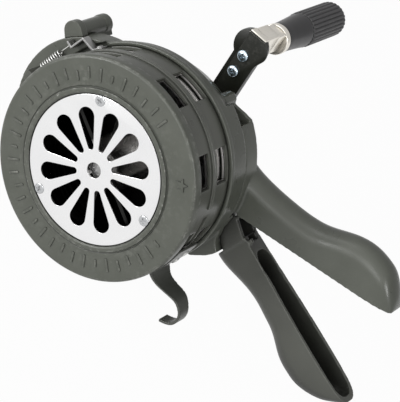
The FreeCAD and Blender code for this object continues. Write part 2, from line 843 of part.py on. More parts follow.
# rounded ends of the open hollow in the lower grip
hollow_start = [(29.4, 27.6, 2.0), (30.4, 28.2, 4.8)]
hollow_end = [(138.4, 15.6, 7.2), (140.9, 11.6, 4.8), (141.9, 9.8, 2.2)]


def grip_outline(points, clock, side, y0, y1):
    along, back = grip_frame(clock, side)
    corners = []
    for u, v in points:
        p = Vector(hinge_x, 0, hinge_z) + along * u + back * v
        corners.append((p.x, p.z))
    return prism(corners, y0, y1)


web_points = [
    (-21.9, -46.2), (-11.8, -43.9), (-2.4, -37.0), (1.5, -32.9), (3.7, -29.6), (0.5, -25.6),
    (-1.1, -22.0), (-1.3, -2.2), (-7.9, 1.8), (-15.9, -24.2),
]
cheek_points = [(-4.2, 1.0), (5.5, 17.5), (7.6, 20.2), (10.8, 22.2), (18.5, 24.5), (18.5, 5.5), (4.0, 1.5)]


def cheek_bands(grow):
    outer = grip_y - lower_stations[0][2] - 1.2
    far = grip_y + lower_stations[0][2] + 1.2
    return [
        (outer - grow, outer + cheek_width + grow),
        (far - cheek_width - grow, far + grow),
    ]


def rear_cover():
    slab = case_solid(0, seam_y, cover_back_y)
    slab = slab.cut(case_solid(case_wall, seam_y - 1, cover_inner_y))
    # pocket in the flank, its floor and its two ends
    first, last = pocket_clocks
    floor = band_radius - pocket_depth
    deep = floor - lining_depth
    pocket = sector(band_radius + 5, floor, first, last, seam_y - 1, cover_inner_y)
    chord = [
        polar(band_radius + 0.6, last - 0.5), polar(band_radius - 8, first - 0.6),
        polar(band_radius + 12, first - 0.6), polar(band_radius + 12, last - 0.5),
    ]
    facet = prism([(p.x, p.z) for p in chord], seam_y - 1, cover_back_y + 1)
    lining = sector(floor, deep, first - lining_span, last + lining_span, seam_y, cover_inner_y)
    fins = [
        sector(floor + 0.5, deep, first - lining_span, first, seam_y, cover_inner_y),
        sector(band_radius - 1, deep, last, last + lining_span, seam_y, cover_inner_y),
    ]
    hinge_block = sector(band_radius - 0.5, band_radius - 13, 84.0, 112.0, seam_y, cover_inner_y + 1)
    body = join([slab.cut(group([pocket, facet])), lining, hinge_block] + fins)
    bosses = [
        disc(crank_shaft_radius + bush_wall + crank_boss_wall, rear_gear_y + gear_width + 1,
             crank_boss_back_y, crank_axis_x),
        disc(shaft_radius + bush_wall + boss_wall, rear_gear_y + gear_width + 0.8, cover_back_y - 0.5,
             layshaft_x),
    ]
    for place in post_places():
        bosses.append(disc(post_radius, seam_y, cover_back_y - 0.5, place.x, place.z))
    web_plate = prism([(hinge_x + x, hinge_z + z) for x, z in web_points], seam_y + 1, grip_y - 5.5)
    grip = grip_loft(upper_clock, 1, upper_stations, 0.0)
    cavity = grip_loft(upper_clock, 1, inner_stations(upper_stations, 20, 119), -1.0)
    body = merge([body] + bosses + [web_plate, grip.cut(cavity)])
    tongue = disc(hinge_eye_radius + 1.0, grip_y - 5.9, grip_y + 5.9, hinge_x, hinge_z)
    root_fill = grip_outline([(-9, 0), (-9, -9), (0, -5.5), (2, 0)], upper_clock, 1, grip_y - 5.9,
                             grip_y + 5.9)
    body = merge([body, tongue, root_fill])
    # the gear chamber stays open inside
    body = body.cut(case_solid(case_wall + 13, seam_y - 1, cover_inner_y).cut(group(bosses)))
    for y0, y1 in cheek_bands(hinge_play):
        room = disc(hinge_eye_radius + hinge_play, y0, y1, hinge_x, hinge_z)
        along, back = grip_frame(lower_clock, -1)
        outline = grip_outline(cheek_points, lower_clock, -1, y0, y1)
        grown = outline.makeOffsetShape(hinge_play, 0.001, join=2)
        body = body.cut(room)
        body = body.cut(grown.common(disc(400, y0, y1)))
    pin_room = disc(hinge_pin_radius + running_play, grip_y - 20, grip_y + 20, hinge_x, hinge_z)
    body = body.cut(pin_room)
    body = body.cut(disc(crank_shaft_radius + bush_wall, seam_y, crank_boss_back_y + 1, crank_axis_x))
    body = body.cut(disc(shaft_radius + bush_wall, seam_y, cover_back_y - 1.5, layshaft_x))
    for place in post_places():
        body = body.cut(disc(post_hole, seam_y - 1, cover_back_y + 1, place.x, place.z))
    return body


def cover_screws():
    screws = []
    for place in post_places():
        shank = disc(cover_screw_radius, cover_back_y - cover_screw_length, cover_back_y, place.x, place.z)
        head = disc(cover_screw_head, cover_back_y, cover_back_y + cover_screw_height, place.x, place.z)
        slot = Part.makeBox(8, 1.2, 1.0, Vector(place.x - 4, cover_back_y + 1.2, place.z - 0.5))
        cross = Part.makeBox(1.0, 1.2, 8, Vector(place.x - 0.5, cover_back_y + 1.2, place.z - 4))
        screws.append(join([shank, head]).cut(group([slot, cross])))
    return group(screws)


def lower_grip():
    shell = grip_loft(lower_clock, -1, lower_stations, lower_rim)
    hollow = hollow_start + inner_stations(lower_stations, 30, 136) + hollow_end
    cavity = grip_loft(lower_clock, -1, hollow, lower_rim - 1.0)
    root_slot = grip_outline([(8, -6), (8, 26), (17, 26), (22, 20), (22, -6)], lower_clock, -1,
                             grip_y - 6.3, grip_y + 6.3)
    shell = shell.cut(cavity)
    cheeks = []
    for y0, y1 in cheek_bands(0.0):
        cheeks.append(grip_outline(cheek_points, lower_clock, -1, y0, y1))
        cheeks.append(disc(hinge_eye_radius, y0, y1, hinge_x, hinge_z))
    nub = grip_outline([(20, lower_rim + 0.2), (20, 1.2), (23, 1.2), (23.5, lower_rim + 0.2)], lower_clock,
                       -1,
                       grip_y - 8.5, grip_y - 5.5)
    body = join([shell] + cheeks + [nub])
    body = body.cut(root_slot.common(disc(400, grip_y - 4.6, grip_y + 4.6)))
    return body.cut(disc(hinge_pin_radius + running_play, grip_y - 20, grip_y + 20, hinge_x, hinge_z))


def hinge_pin():
    near = cheek_bands(0.0)[0][0]
    far = cheek_bands(0.0)[1][1]
    return disc(hinge_pin_radius, near + 0.2, far - 0.2, hinge_x, hinge_z)


# ---- rotor -----------------------------------------------------------------------------------
def rotor():
    front = rotor_front_y
    back = boss_front_y - 0.5
    plate_front = back - rotor_plate
    shapes = [disc(rotor_radius, plate_front, back)]
    shapes.append(disc(rotor_hub_radius, front, back))
    shapes.append(disc(race_inner, back - 1, bearing_front_y))
    inner = rotor_radius - rotor_ring_depth
    rings = [(front + offset, width) for offset, width in plate_rings]
    rings.append((plate_front - last_ring[0], last_ring[1]))
    for start, width in rings:
        shapes.append(tube(rotor_radius, inner, start, start + width))
    for k in range(vane_count):
        clock = window_phase + 22.5 + 360 / vane_count * k
        vane = Part.makeBox(vane_thickness, plate_front - front + 1, rotor_radius - rotor_hub_radius - 1.0,
                            Vector(-vane_thickness / 2, front, rotor_hub_radius - 0.5))
        shapes.append(spin(vane, clock))
        shapes.append(sector(rotor_radius, rotor_radius - land_depth, clock - land_span / 2,
                             clock + land_span / 2,
                             front, plate_front + 1))
    body = join(shapes)
    return body.cut(disc(shaft_radius, 0, seam_y))


def rotor_shaft():
    return disc(shaft_radius, plate_back_y + 1.6, front_gear_y + gear_width + 1)


def rotor_washer():
    return tube(rotor_washer_radius, shaft_radius, rotor_front_y - rotor_washer_height, rotor_front_y)


def rotor_nut():
    back = rotor_front_y - rotor_washer_height
    return hexagon(rotor_nut_flats, back - rotor_nut_height, back).cut(disc(shaft_radius, 0, back + 1))


def bearing_outer_races():
    rings = []
    for y in (bearing_front_y, bearing_rear_y):
        rings.append(tube(bearing_outer, race_outer, y, y + bearing_width))
    return group(rings)


def bearing_inner_races():
    rings = []
    for y in (bearing_front_y, bearing_rear_y):
        rings.append(tube(race_inner, shaft_radius, y, y + bearing_width))
    return group(rings)


def bearing_balls():
    balls = []
    for y in (bearing_front_y, bearing_rear_y):
        for k in range(ball_count):
            middle = polar(ball_circle, 360 / ball_count * k, y + bearing_width / 2)
            balls.append(Part.makeSphere(ball_radius, middle))
    return group(balls)


# ---- gears -----------------------------------------------------------------------------------
def involute_angle(base, radius):
    t = math.sqrt(max((radius / base) ** 2 - 1, 0))
    return t - math.atan(t)


def gear(teeth, y0, width, x, first_tooth):
    pitch = gear_module * teeth / 2
    base = pitch * math.cos(math.radians(pressure_angle))
    tip = pitch + gear_module
    root = pitch - 1.25 * gear_module
    start = max(base, root)
    half = math.pi / 2 / teeth - tooth_play / 2 / pitch + involute_angle(base, pitch)
    middle = (start + tip) / 2

    def flank(radius):
        return math.degrees(half - involute_angle(base, radius))

    edges = []
    step = 360 / teeth
    for k in range(teeth):
        centre = first_tooth + k * step

        def at(radius, offset):
            return polar(radius, centre + offset, y0, x)

        if root < start:
            edges.append(Part.makeLine(at(root, -flank(start)), at(start, -flank(start))))
        rising = Part.Arc(at(start, -flank(start)), at(middle, -flank(middle)), at(tip, -flank(tip)))
        edges.append(rising.toShape())
        edges.append(Part.Arc(at(tip, -flank(tip)), at(tip, 0), at(tip, flank(tip))).toShape())
        falling = Part.Arc(at(tip, flank(tip)), at(middle, flank(middle)), at(start, flank(start)))
        edges.append(falling.toShape())
        if root < start:
            edges.append(Part.makeLine(at(start, flank(start)), at(root, flank(start))))
        floor = Part.Arc(at(root, flank(start)), at(root, step / 2), at(root, step - flank(start)))
        edges.append(floor.toShape())
    return Part.Face(Part.Wire(edges)).extrude(Vector(0, width, 0))


def rotor_pinion():
    teeth = gear(pinion_teeth, front_gear_y, gear_width, 0.0, -90 + 180 / pinion_teeth)
    hub = disc(5.6, boss_back_y, front_gear_y + 0.5)
    return join([teeth, hub]).cut(disc(shaft_radius, 0, 200))


def layshaft_gear():
    body = gear(layshaft_teeth, front_gear_y, gear_width, layshaft_x, 90.0)
    for k in range(6):
        p = polar(18.0, 60 * k, 0, layshaft_x)
        body = body.cut(disc(6.0, 0, 200, p.x, p.z))
    return body.cut(disc(shaft_radius, 0, 200, layshaft_x))


def layshaft_pinion():
    body = gear(pinion_teeth, rear_gear_y, gear_width, layshaft_x, 90 + 180 / pinion_teeth)
    collar = disc(5.6, front_gear_y + gear_width, rear_gear_y + 0.5, layshaft_x)
    return join([body, collar]).cut(disc(shaft_radius, 0, 200, layshaft_x))


def crank_gear():
    body = gear(crank_teeth, rear_gear_y, gear_width, crank_axis_x, -90.0)
    for k in range(6):
        p = polar(24.0, 60 * k + 30, 0, crank_axis_x)
        body = body.cut(disc(7.5, 0, 200, p.x, p.z))
    return body.cut(disc(crank_shaft_radius, 0, 200, crank_axis_x))


def layshaft():
    return disc(shaft_radius, wall_back_y, cover_back_y - 2.0, layshaft_x)


def layshaft_bushes():
    outer = shaft_radius + bush_wall
    inner = shaft_radius + running_play
    front = tube(outer, inner, wall_back_y - 0.5, wall_back_y + bush_length, layshaft_x)
    rear = tube(outer, inner, rear_gear_y + gear_width + 0.8, cover_back_y - 1.5, layshaft_x)
    return group([front, rear])


def crank_bush():
    inner = crank_shaft_radius + running_play
    outer = crank_shaft_radius + bush_wall
    sleeve = tube(outer, inner, rear_gear_y + gear_width + 1, crank_boss_back_y, crank_axis_x)
    flange = tube(outer + 2.5, inner, crank_boss_back_y, crank_boss_back_y + bush_flange, crank_axis_x)
    return join([sleeve, flange])


# ---- crank -----------------------------------------------------------------------------------
def crank_shaft():
    thick = disc(crank_shaft_radius, rear_gear_y - 0.5, arm_front_y, crank_axis_x)
    thin = disc(arm_bore, arm_front_y - 1, arm_back_y + crank_nut_height + 0.4, crank_axis_x)
    return join([thick, thin])


def crank_washer():
    return tube(crank_washer_radius, crank_shaft_radius, crank_boss_back_y + bush_flange + 0.3, arm_front_y,
                crank_axis_x)


def crank_nut():
    nut = hexagon(crank_nut_flats, arm_back_y, arm_back_y + crank_nut_height, crank_axis_x)
    return nut.cut(disc(arm_bore, 0, 300, crank_axis_x))


def arm_place(shape):
    # shapes are drawn with the arm along +Z from the crank axis
    return move(spin(shape, arm_angle), crank_axis_x)


def crank_arm():
    bar = Part.makeBox(arm_left + arm_right, arm_plate, arm_length, Vector(-arm_left, arm_front_y, 0))
    hub = disc(hub_end_radius, arm_front_y, arm_back_y)
    eye = disc(arm_end_radius, arm_front_y, arm_back_y, 0, arm_length)
    # the end is cut flat where the bracket bends over it
    flat = Part.makeBox(40, 20, 20, Vector(bracket_left, arm_front_y - 5,
                                           arm_length + bracket_top - bracket_sheet))
    body = join([bar, hub, eye]).cut(disc(arm_bore, 0, 300)).cut(flat)
    return arm_place(body.cut(crank_screw_holes()))


def crank_screw_holes():
    return group([disc(crank_screw_radius, 0, 300, 0, reach) for reach in crank_screw_radii])


def fold_bracket():
    # drawn about the middle of the arm's end: front sheet, tab over the end, two cheeks behind
    y0 = arm_front_y - bracket_sheet
    right = arm_right
    points = [
        (bracket_left, -40), (right, -40), (right, -11.5), (right + 0.2, -8.5), (14.2, -0.5), (13.9, 3.7),
        (bracket_right, bracket_top), (bracket_left, bracket_top),
    ]
    front = prism([(x, arm_length + z) for x, z in points], y0, arm_front_y)
    width = bracket_right - bracket_left
    y1 = arm_back_y + bracket_reach
    top_corner = Vector(bracket_left, y0, arm_length + bracket_top - bracket_sheet)
    top = Part.makeBox(width, y1 - y0, bracket_sheet, top_corner)
    cheeks = []
    for x in (bracket_left, bracket_right - bracket_sheet):
        base = Vector(x, arm_back_y, arm_length - bracket_low)
        cheeks.append(Part.makeBox(bracket_sheet, bracket_reach, bracket_low + bracket_top, base))
    body = join([front, top] + cheeks).cut(pin_line(fold_pin_radius))
    return arm_place(body.cut(crank_screw_holes()))


def pin_line(radius):
    return Part.makeCylinder(radius, 60, Vector(-30, pin_y, pin_reach), Vector(1, 0, 0))


def crank_screws():
    screws = []
    top = arm_front_y - bracket_sheet
    for reach in crank_screw_radii:
        shank = disc(crank_screw_radius, top, arm_back_y, 0, reach)
        head = disc(crank_screw_head, top - 2.4, top, 0, reach)
        head = head.makeFillet(1.1, [e for e in head.Edges if e.BoundBox.YMax < top - 2.3])
        slot = Part.makeBox(4.4, 1.4, 0.9, Vector(-2.2, top - 2.5, reach - 0.45))
        cross = Part.makeBox(0.9, 1.4, 4.4, Vector(-0.45, top - 2.5, reach - 2.2))
        screws.append(join([shank, head]).cut(group([slot, cross])))
    return arm_place(group(screws))


def fold_pin():
    width = bracket_right - bracket_left
    return arm_place(Part.makeCylinder(fold_pin_radius, width, Vector(bracket_left, pin_y, pin_reach),
                                       Vector(1, 0, 0)))


def handle_knuckle():
    left = bracket_left + bracket_sheet + knuckle_play
    width = bracket_right - bracket_left - 2 * (bracket_sheet + knuckle_play)
    start = pin_y - knuckle_lug
    low = arm_length - knuckle_height / 2
    block = Part.makeBox(width, handle_y - start, knuckle_height, Vector(left, start, low))
    web = Part.makeBox(width, 2 * knuckle_lug, low - pin_reach + 1, Vector(left, start, pin_reach))
    lug = Part.makeCylinder(knuckle_lug, width, Vector(left, pin_y, pin_reach), Vector(1, 0, 0))
    head_left = bracket_left + knuckle_play
    head_width = bracket_right - bracket_left - 2 * knuckle_play
    head_y = arm_back_y + bracket_reach + knuckle_head_gap
    head_height = knuckle_head_low + knuckle_head_top
    head_corner = Vector(head_left, head_y, arm_length - knuckle_head_low)
    head = Part.makeBox(head_width, handle_y - head_y, head_height, head_corner)
    body = join([block, web, lug, head]).cut(pin_line(fold_pin_radius + running_play))
    return arm_place(body.cut(handle_disc(spindle_radius, handle_y - 8, handle_y + 1)))


def handle_disc(radius, y0, y1):
    return disc(radius, y0, y1, handle_x, arm_length)


def grip_spindle():
    return arm_place(handle_disc(spindle_radius, handle_y - 8, handle_end_y - end_recess))


def grip_collar():
    body = handle_disc(collar_radius, handle_y, handle_y + collar_length)
    return arm_place(body.cut(handle_disc(spindle_radius, 0, 300)))


def grip_end_screw():
    end = handle_end_y - end_recess
    return arm_place(handle_disc(6.0, end, end + 3.0))


def crank_grip_core():
    cone_start = Vector(handle_x, core_y, arm_length)
    cone_part = Part.makeCone(core_radius_front, core_radius_rear, core_length, cone_start, Vector(0, 1, 0))
    inner = handle_disc(sleeve_bore, sleeve_y - 1, handle_end_y - end_recess - 0.5)
    body = join([cone_part, inner])
    return arm_place(body.cut(handle_disc(spindle_radius + running_play, 0, 400)))


def crank_grip_sleeve():
    body = handle_disc(sleeve_radius, sleeve_y, handle_end_y)
    body = body.makeFillet(sleeve_end_round,
                           [e for e in body.Edges if e.BoundBox.YMin > handle_end_y - 0.1])
    grooves = []
    for k in range(sleeve_groove_count):
        p = polar(sleeve_radius + 0.3, 360 / sleeve_groove_count * k, 0, handle_x, arm_length)
        grooves.append(disc(sleeve_groove, sleeve_y - 1, handle_end_y - 4, p.x, p.z))
    body = body.cut(group(grooves))
    body = body.cut(handle_disc(sleeve_bore, sleeve_y - 1, handle_end_y - end_recess - 0.5))
    body = body.cut(handle_disc(7.0, handle_end_y - end_recess - 1, handle_end_y - end_recess + 4.0))
    return arm_place(body)


# ---- all the pieces --------------------------------------------------------------------------
os.makedirs("parts", exist_ok=True)
pieces = {
    "front_ring": front_ring,
    "grille": grille,
    "grille_screws": grille_screws,
    "stator_drum": stator_drum,
    "drum_screws": drum_screws,
    "shutter_ring": shutter_ring,
    "trigger": trigger,
    "trigger_rivets": trigger_rivets,
    "spring_arm": spring_arm,
    "spring_anchor": spring_anchor,
    "return_spring": return_spring,
    "housing": housing,
    "top_lug": top_lug,
    "rear_cover": rear_cover,
    "cover_screws": cover_screws,
    "lower_grip": lower_grip,
    "grip_hinge_pin": hinge_pin,
    "rotor": rotor,
    "rotor_shaft": rotor_shaft,
    "rotor_washer": rotor_washer,
    "rotor_nut": rotor_nut,
    "rotor_bearing_outer": bearing_outer_races,
    "rotor_bearing_inner": bearing_inner_races,
    "rotor_bearing_balls": bearing_balls,
    "rotor_pinion": rotor_pinion,
    "layshaft": layshaft,
    "layshaft_gear": layshaft_gear,
    "layshaft_pinion": layshaft_pinion,
    "layshaft_bushes": layshaft_bushes,
    "crank_bush": crank_bush,
    "crank_shaft": crank_shaft,
    "crank_gear": crank_gear,
    "crank_washer": crank_washer,
    "crank_nut": crank_nut,
    "crank_arm": crank_arm,
    "crank_screws": crank_screws,
    "fold_bracket": fold_bracket,
    "fold_pin": fold_pin,
    "handle_knuckle": handle_knuckle,
    "grip_spindle": grip_spindle,
    "grip_collar": grip_collar,
    "grip_end_screw": grip_end_screw,
    "crank_grip_core": crank_grip_core,
    "crank_grip_sleeve": crank_grip_sleeve,
}
for name, make in pieces.items():
    shape = make()
    print(name, "solids", len(shape.Solids), "volume", round(shape.Volume), "valid", shape.isValid())
    save(name, shape)
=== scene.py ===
import math

import bmesh
import bpy
from mathutils import Matrix, Vector


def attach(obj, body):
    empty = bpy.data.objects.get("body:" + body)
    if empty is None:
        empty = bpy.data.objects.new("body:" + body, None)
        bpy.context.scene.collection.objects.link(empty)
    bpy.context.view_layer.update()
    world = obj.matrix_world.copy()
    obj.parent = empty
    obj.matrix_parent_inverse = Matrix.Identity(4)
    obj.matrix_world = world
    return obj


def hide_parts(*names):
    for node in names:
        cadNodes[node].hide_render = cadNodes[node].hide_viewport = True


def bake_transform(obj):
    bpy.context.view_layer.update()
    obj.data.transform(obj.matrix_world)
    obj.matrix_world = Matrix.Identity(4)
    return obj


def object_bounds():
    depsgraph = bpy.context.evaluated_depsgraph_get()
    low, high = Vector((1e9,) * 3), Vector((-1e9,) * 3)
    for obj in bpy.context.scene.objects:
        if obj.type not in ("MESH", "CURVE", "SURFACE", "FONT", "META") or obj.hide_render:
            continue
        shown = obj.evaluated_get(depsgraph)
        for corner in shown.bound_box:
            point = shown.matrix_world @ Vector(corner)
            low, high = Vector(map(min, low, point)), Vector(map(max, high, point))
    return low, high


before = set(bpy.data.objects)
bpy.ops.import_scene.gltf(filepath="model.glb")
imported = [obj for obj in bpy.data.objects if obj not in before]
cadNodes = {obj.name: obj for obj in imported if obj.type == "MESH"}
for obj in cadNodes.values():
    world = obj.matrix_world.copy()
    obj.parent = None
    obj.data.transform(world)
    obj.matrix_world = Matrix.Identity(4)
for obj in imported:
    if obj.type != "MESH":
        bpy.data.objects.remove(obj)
cadBox = [list(corner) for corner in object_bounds()]
print("siren: frame loaded,", len(cadNodes), "nodes")

restRoll = math.radians(3.9)  # the siren leans by this much when it rests on ring and grip
mm = 0.001
# from millimetres of the upright siren to metres of the resting one
layDown = Matrix.Rotation(-restRoll, 4, "Y") @ Matrix.Scale(mm, 4)
limits = {
    "weld": 1e-5,  # closer points of one mesh are one
    "plateWeld": 1e-4,
    "castWeld": 1e-6,
    "corner": 1e-4,
    "cornerShare": 0.45,  # a rounding takes at most this share of a side
}


def polar(radius, clock, x0=0.0, z0=0.0):
    # clock is in degrees from +Z towards +X
    a = math.radians(clock)
    return x0 + radius * math.sin(a), z0 + radius * math.cos(a)


def newObject(name, data):
    obj = bpy.data.objects.new(name, data)
    bpy.context.scene.collection.objects.link(obj)
    return obj


def cleanMesh(data, weld=0.0):
    # merges close points and turns every face outwards
    bm = bmesh.new()
    bm.from_mesh(data)
    if weld:
        bmesh.ops.remove_doubles(bm, verts=bm.verts, dist=weld)
    bmesh.ops.recalc_face_normals(bm, faces=bm.faces)
    bm.to_mesh(data)
    bm.free()


def makeMesh(name, verts, faces):
    data = bpy.data.meshes.new(name)
    data.from_pydata([tuple(v) for v in verts], [], faces)
    data.validate()
    obj = newObject(name, data)
    cleanMesh(data, limits["weld"])
    return obj


def bake(obj):
    # modifiers and curves become the plain mesh of the piece
    bpy.context.view_layer.update()
    graph = bpy.context.evaluated_depsgraph_get()
    data = bpy.data.meshes.new_from_object(obj.evaluated_get(graph))
    fresh = newObject(obj.name + "Baked", data)
    name = obj.name
    old = obj.data
    bpy.data.objects.remove(obj)
    if isinstance(old, bpy.types.Mesh) and old.users == 0:
        bpy.data.meshes.remove(old)
    fresh.name = name
    return fresh


def shade(obj, angle=35.0):
    for poly in obj.data.polygons:
        poly.use_smooth = True
    obj.data.set_sharp_from_angle(angle=math.radians(angle))


def edgeBevel(obj, width, segments=2, angle=30.0):
    mod = obj.modifiers.new("edge", "BEVEL")
    mod.width = width
    mod.segments = segments
    mod.limit_method = "ANGLE"
    mod.angle_limit = math.radians(angle)
    mod.miter_outer = "MITER_ARC"
    return bake(obj)


def joined(name, objs):
    # one object from several, each face with its own material
    bm = bmesh.new()
    mats = []
    for obj in objs:
        start = len(mats)
        mats += list(obj.data.materials)
        count = len(bm.faces)
        bm.from_mesh(obj.data)
        bm.faces.ensure_lookup_table()
        for face in bm.faces[count:]:
            face.material_index += start
    data = bpy.data.meshes.new(name)
    bm.to_mesh(data)
    bm.free()
    for mat in mats:
        data.materials.append(mat)
    for obj in objs:
        bpy.data.objects.remove(obj)
    return newObject(name, data)


def lathe(name, profile, steps=160, x0=0.0, z0=0.0, clocks=None):
    # profile of (radius, y), closed on itself; clocks limits it to a sector
    verts, faces = [], []
    n = len(profile)
    if clocks:
        angles = [clocks[0] + (clocks[1] - clocks[0]) * k / steps for k in range(steps + 1)]
    else:
        angles = [360 * k / steps for k in range(steps)]
    for angle in angles:
        for radius, y in profile:
            x, z = polar(radius, angle, x0, z0)
            verts.append((x, y, z))
    rows = len(angles)
    for i in range(rows if not clocks else rows - 1):
        for j in range(n):
            a, b = i * n + j, i * n + (j + 1) % n
            c, d = ((i + 1) % rows) * n + (j + 1) % n, ((i + 1) % rows) * n + j
            faces.append((a, b, c, d))
    if clocks:
        faces.append(tuple(range(n)))
        faces.append(tuple((rows - 1) * n + j for j in range(n)))
    return makeMesh(name, verts, faces)


def rounded(points, radius, steps=5):
    # rounds the corners of a closed polygon
    out = []
    n = len(points)
    for i in range(n):
        p, a, b = Vector(points[i]), Vector(points[i - 1]), Vector(points[(i + 1) % n])
        r = radius[i] if isinstance(radius, (list, tuple)) else radius
        u, v = (a - p), (b - p)
        cut = min(r, u.length * limits["cornerShare"], v.length * limits["cornerShare"])
        if cut < limits["corner"]:
            out.append(tuple(p))
            continue
        start, end = p + u.normalized() * cut, p + v.normalized() * cut
        for k in range(steps + 1):
            t = k / steps
            q = start * (1 - t) ** 2 + p * 2 * t * (1 - t) + end * t ** 2
            out.append(tuple(q))
    return out


def circle(radius, x0=0.0, z0=0.0, steps=64):
    return [polar(radius, 360 * k / steps, x0, z0) for k in range(steps)]


def flatPlate(name, loops, y0, y1, edge):
    # plate between y0 and y1 from outlines in (x, z), the first outside and the rest holes
    curve = bpy.data.curves.new(name, "CURVE")
    curve.dimensions = "2D"
    curve.fill_mode = "BOTH"
    for loop in loops:
        line = curve.splines.new("POLY")
        line.points.add(len(loop) - 1)
        for point, (x, z) in zip(line.points, loop):
            point.co = (x, z, 0, 1)
        line.use_cyclic_u = True
    curve.extrude = (y1 - y0) / 2 - edge
    curve.bevel_depth = edge
    curve.bevel_resolution = 1
    curve.offset = -edge
    obj = bake(newObject(name, curve))
    upright = Matrix.Rotation(math.pi / 2, 4, "X")
    obj.data.transform(Matrix.Translation((0, (y0 + y1) / 2, 0)) @ upright)
    cleanMesh(obj.data, limits["plateWeld"])
    return obj


def extrudeX(name, loop, x0, x1, edge):
    # outline in (y, z), extruded along X
    obj = flatPlate(name, [loop], x0, x1, edge)
    swap = Matrix(((0, 1, 0, 0), (1, 0, 0, 0), (0, 0, 1, 0), (0, 0, 0, 1)))
    obj.data.transform(swap)
    cleanMesh(obj.data)
    return obj


def brick(name, low, high, edge=0.3):
    xs, ys, zs = zip(low, high)
    verts = [(x, y, z) for x in xs for y in ys for z in zs]
    faces = [(0, 1, 3, 2), (4, 6, 7, 5), (0, 4, 5, 1), (2, 3, 7, 6), (0, 2, 6, 4), (1, 5, 7, 3)]
    return edgeBevel(makeMesh(name, verts, faces), edge)


def softCast(name, node, voxel, rounds, keep):
    # the node's own shape with cast, slightly rounded edges
    obj = newObject(name, cadNodes[node].data.copy())
    weld = obj.modifiers.new("weld", "WELD")
    weld.merge_threshold = limits["castWeld"]
    cells = obj.modifiers.new("cells", "REMESH")
    cells.mode = "VOXEL"
    cells.voxel_size = voxel * mm
    relax = obj.modifiers.new("relax", "SMOOTH")
    relax.factor = 0.5
    relax.iterations = rounds
    thin = obj.modifiers.new("thin", "DECIMATE")
    thin.ratio = keep
    obj = bake(obj)
    for poly in obj.data.polygons:
        poly.use_smooth = True
    return obj


def setMaterial(obj, material):
    obj.data.materials.clear()
    obj.data.materials.append(material)


def place(obj, body, material, slot, *nodes, moved=False):
    # moved is for a mesh that lies in the resting siren already
    if not moved:
        obj.data.transform(layDown)
    setMaterial(obj, material)
    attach(obj, body)
    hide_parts(*nodes)


def castPieces(table):
    for node, (name, voxel, rounds, keep, body, finish, slot) in table.items():
        cast = softCast(name, node, voxel, rounds, keep)
        place(cast, body, finish, slot, node, moved=True)
        print("siren:", name, len(cast.data.polygons), "faces")


def newGroup(name, inputs, outputs):
    tree = bpy.data.node_groups.new(name, "ShaderNodeTree")
    for label, kind, value in inputs:
        socket = tree.interface.new_socket(name=label, in_out="INPUT", socket_type=kind)
        socket.default_value = value
    for label, kind in outputs:
        tree.interface.new_socket(name=label, in_out="OUTPUT", socket_type=kind)
    start = tree.nodes.new("NodeGroupInput")
    end = tree.nodes.new("NodeGroupOutput")
    return tree, start, end


def addNode(tree, kind, **values):
    node = tree.nodes.new(kind)
    for key, value in values.items():
        setattr(node, key, value)
    return node


def feed(tree, socket, value):
    # a number or colour goes into the socket, an output is linked to it
    if isinstance(value, (int, float)):
        socket.default_value = value
    elif isinstance(value, (tuple, list)):
        socket.default_value = (*value, 1)
    else:
        tree.links.new(value, socket)


def noiseNode(tree, coords, scale, detail, rough):
    node = addNode(tree, "ShaderNodeTexNoise")
    node.inputs["Detail"].default_value = detail
    node.inputs["Roughness"].default_value = rough
    tree.links.new(coords, node.inputs["Vector"])
    tree.links.new(scale, node.inputs["Scale"])
    return node.outputs["Fac"]


def mathNode(tree, operation, a, b, clamp=False):
    node = addNode(tree, "ShaderNodeMath", operation=operation, use_clamp=clamp)
    feed(tree, node.inputs[0], a)
    feed(tree, node.inputs[1], b)
    return node.outputs[0]


def rangeNode(tree, value, low, high, outLow=0.0, outHigh=1.0):
    node = addNode(tree, "ShaderNodeMapRange")
    tree.links.new(value, node.inputs["Value"])
    ends = (("From Min", low), ("From Max", high), ("To Min", outLow), ("To Max", outHigh))
    for label, number in ends:
        feed(tree, node.inputs[label], number)
    return node.outputs["Result"]


def mixColour(tree, share, a, b):
    node = addNode(tree, "ShaderNodeMix", data_type="RGBA")
    for socket, value in ((0, share), (6, a), (7, b)):  # factor and the two colour sockets
        feed(tree, node.inputs[socket], value)
    return node.outputs[2]


def mixValue(tree, share, a, b):
    node = addNode(tree, "ShaderNodeMix", data_type="FLOAT")
    for socket, value in ((0, share), (2, a), (3, b)):  # factor and the two number sockets
        feed(tree, node.inputs[socket], value)
    return node.outputs[0]


def objectCoords(tree, scale=None):
    # the piece's own coordinates, each axis multiplied by scale
    coords = addNode(tree, "ShaderNodeTexCoord").outputs["Object"]
    if scale is None:
        return coords
    node = addNode(tree, "ShaderNodeVectorMath", operation="MULTIPLY")
    tree.links.new(coords, node.inputs[0])
    if isinstance(scale, tuple):
        node.inputs[1].default_value = scale
    else:
        tree.links.new(scale, node.inputs[1])
    return node.outputs[0]


def buildGrainGroup():
    # fine grain and slow patches, in the piece's own space
    tree, start, end = newGroup(
        "surfaceGrain",
        [
            ("Grain Scale", "NodeSocketFloat", 900.0),
            ("Patch Scale", "NodeSocketFloat", 40.0),
            ("Patch Contrast", "NodeSocketFloat", 1.0),
        ],
        [("Grain", "NodeSocketFloat"), ("Patch", "NodeSocketFloat")],
    )
    coords = objectCoords(tree)
    grain = noiseNode(tree, coords, start.outputs["Grain Scale"], 4.0, 0.6)
    patch = noiseNode(tree, coords, start.outputs["Patch Scale"], 3.0, 0.5)
    centred = mathNode(tree, "SUBTRACT", patch, 0.5)
    spread = mathNode(tree, "MULTIPLY", centred, start.outputs["Patch Contrast"])
    tree.links.new(grain, end.inputs["Grain"])
    tree.links.new(mathNode(tree, "ADD", spread, 0.5, True), end.inputs["Patch"])
    return tree


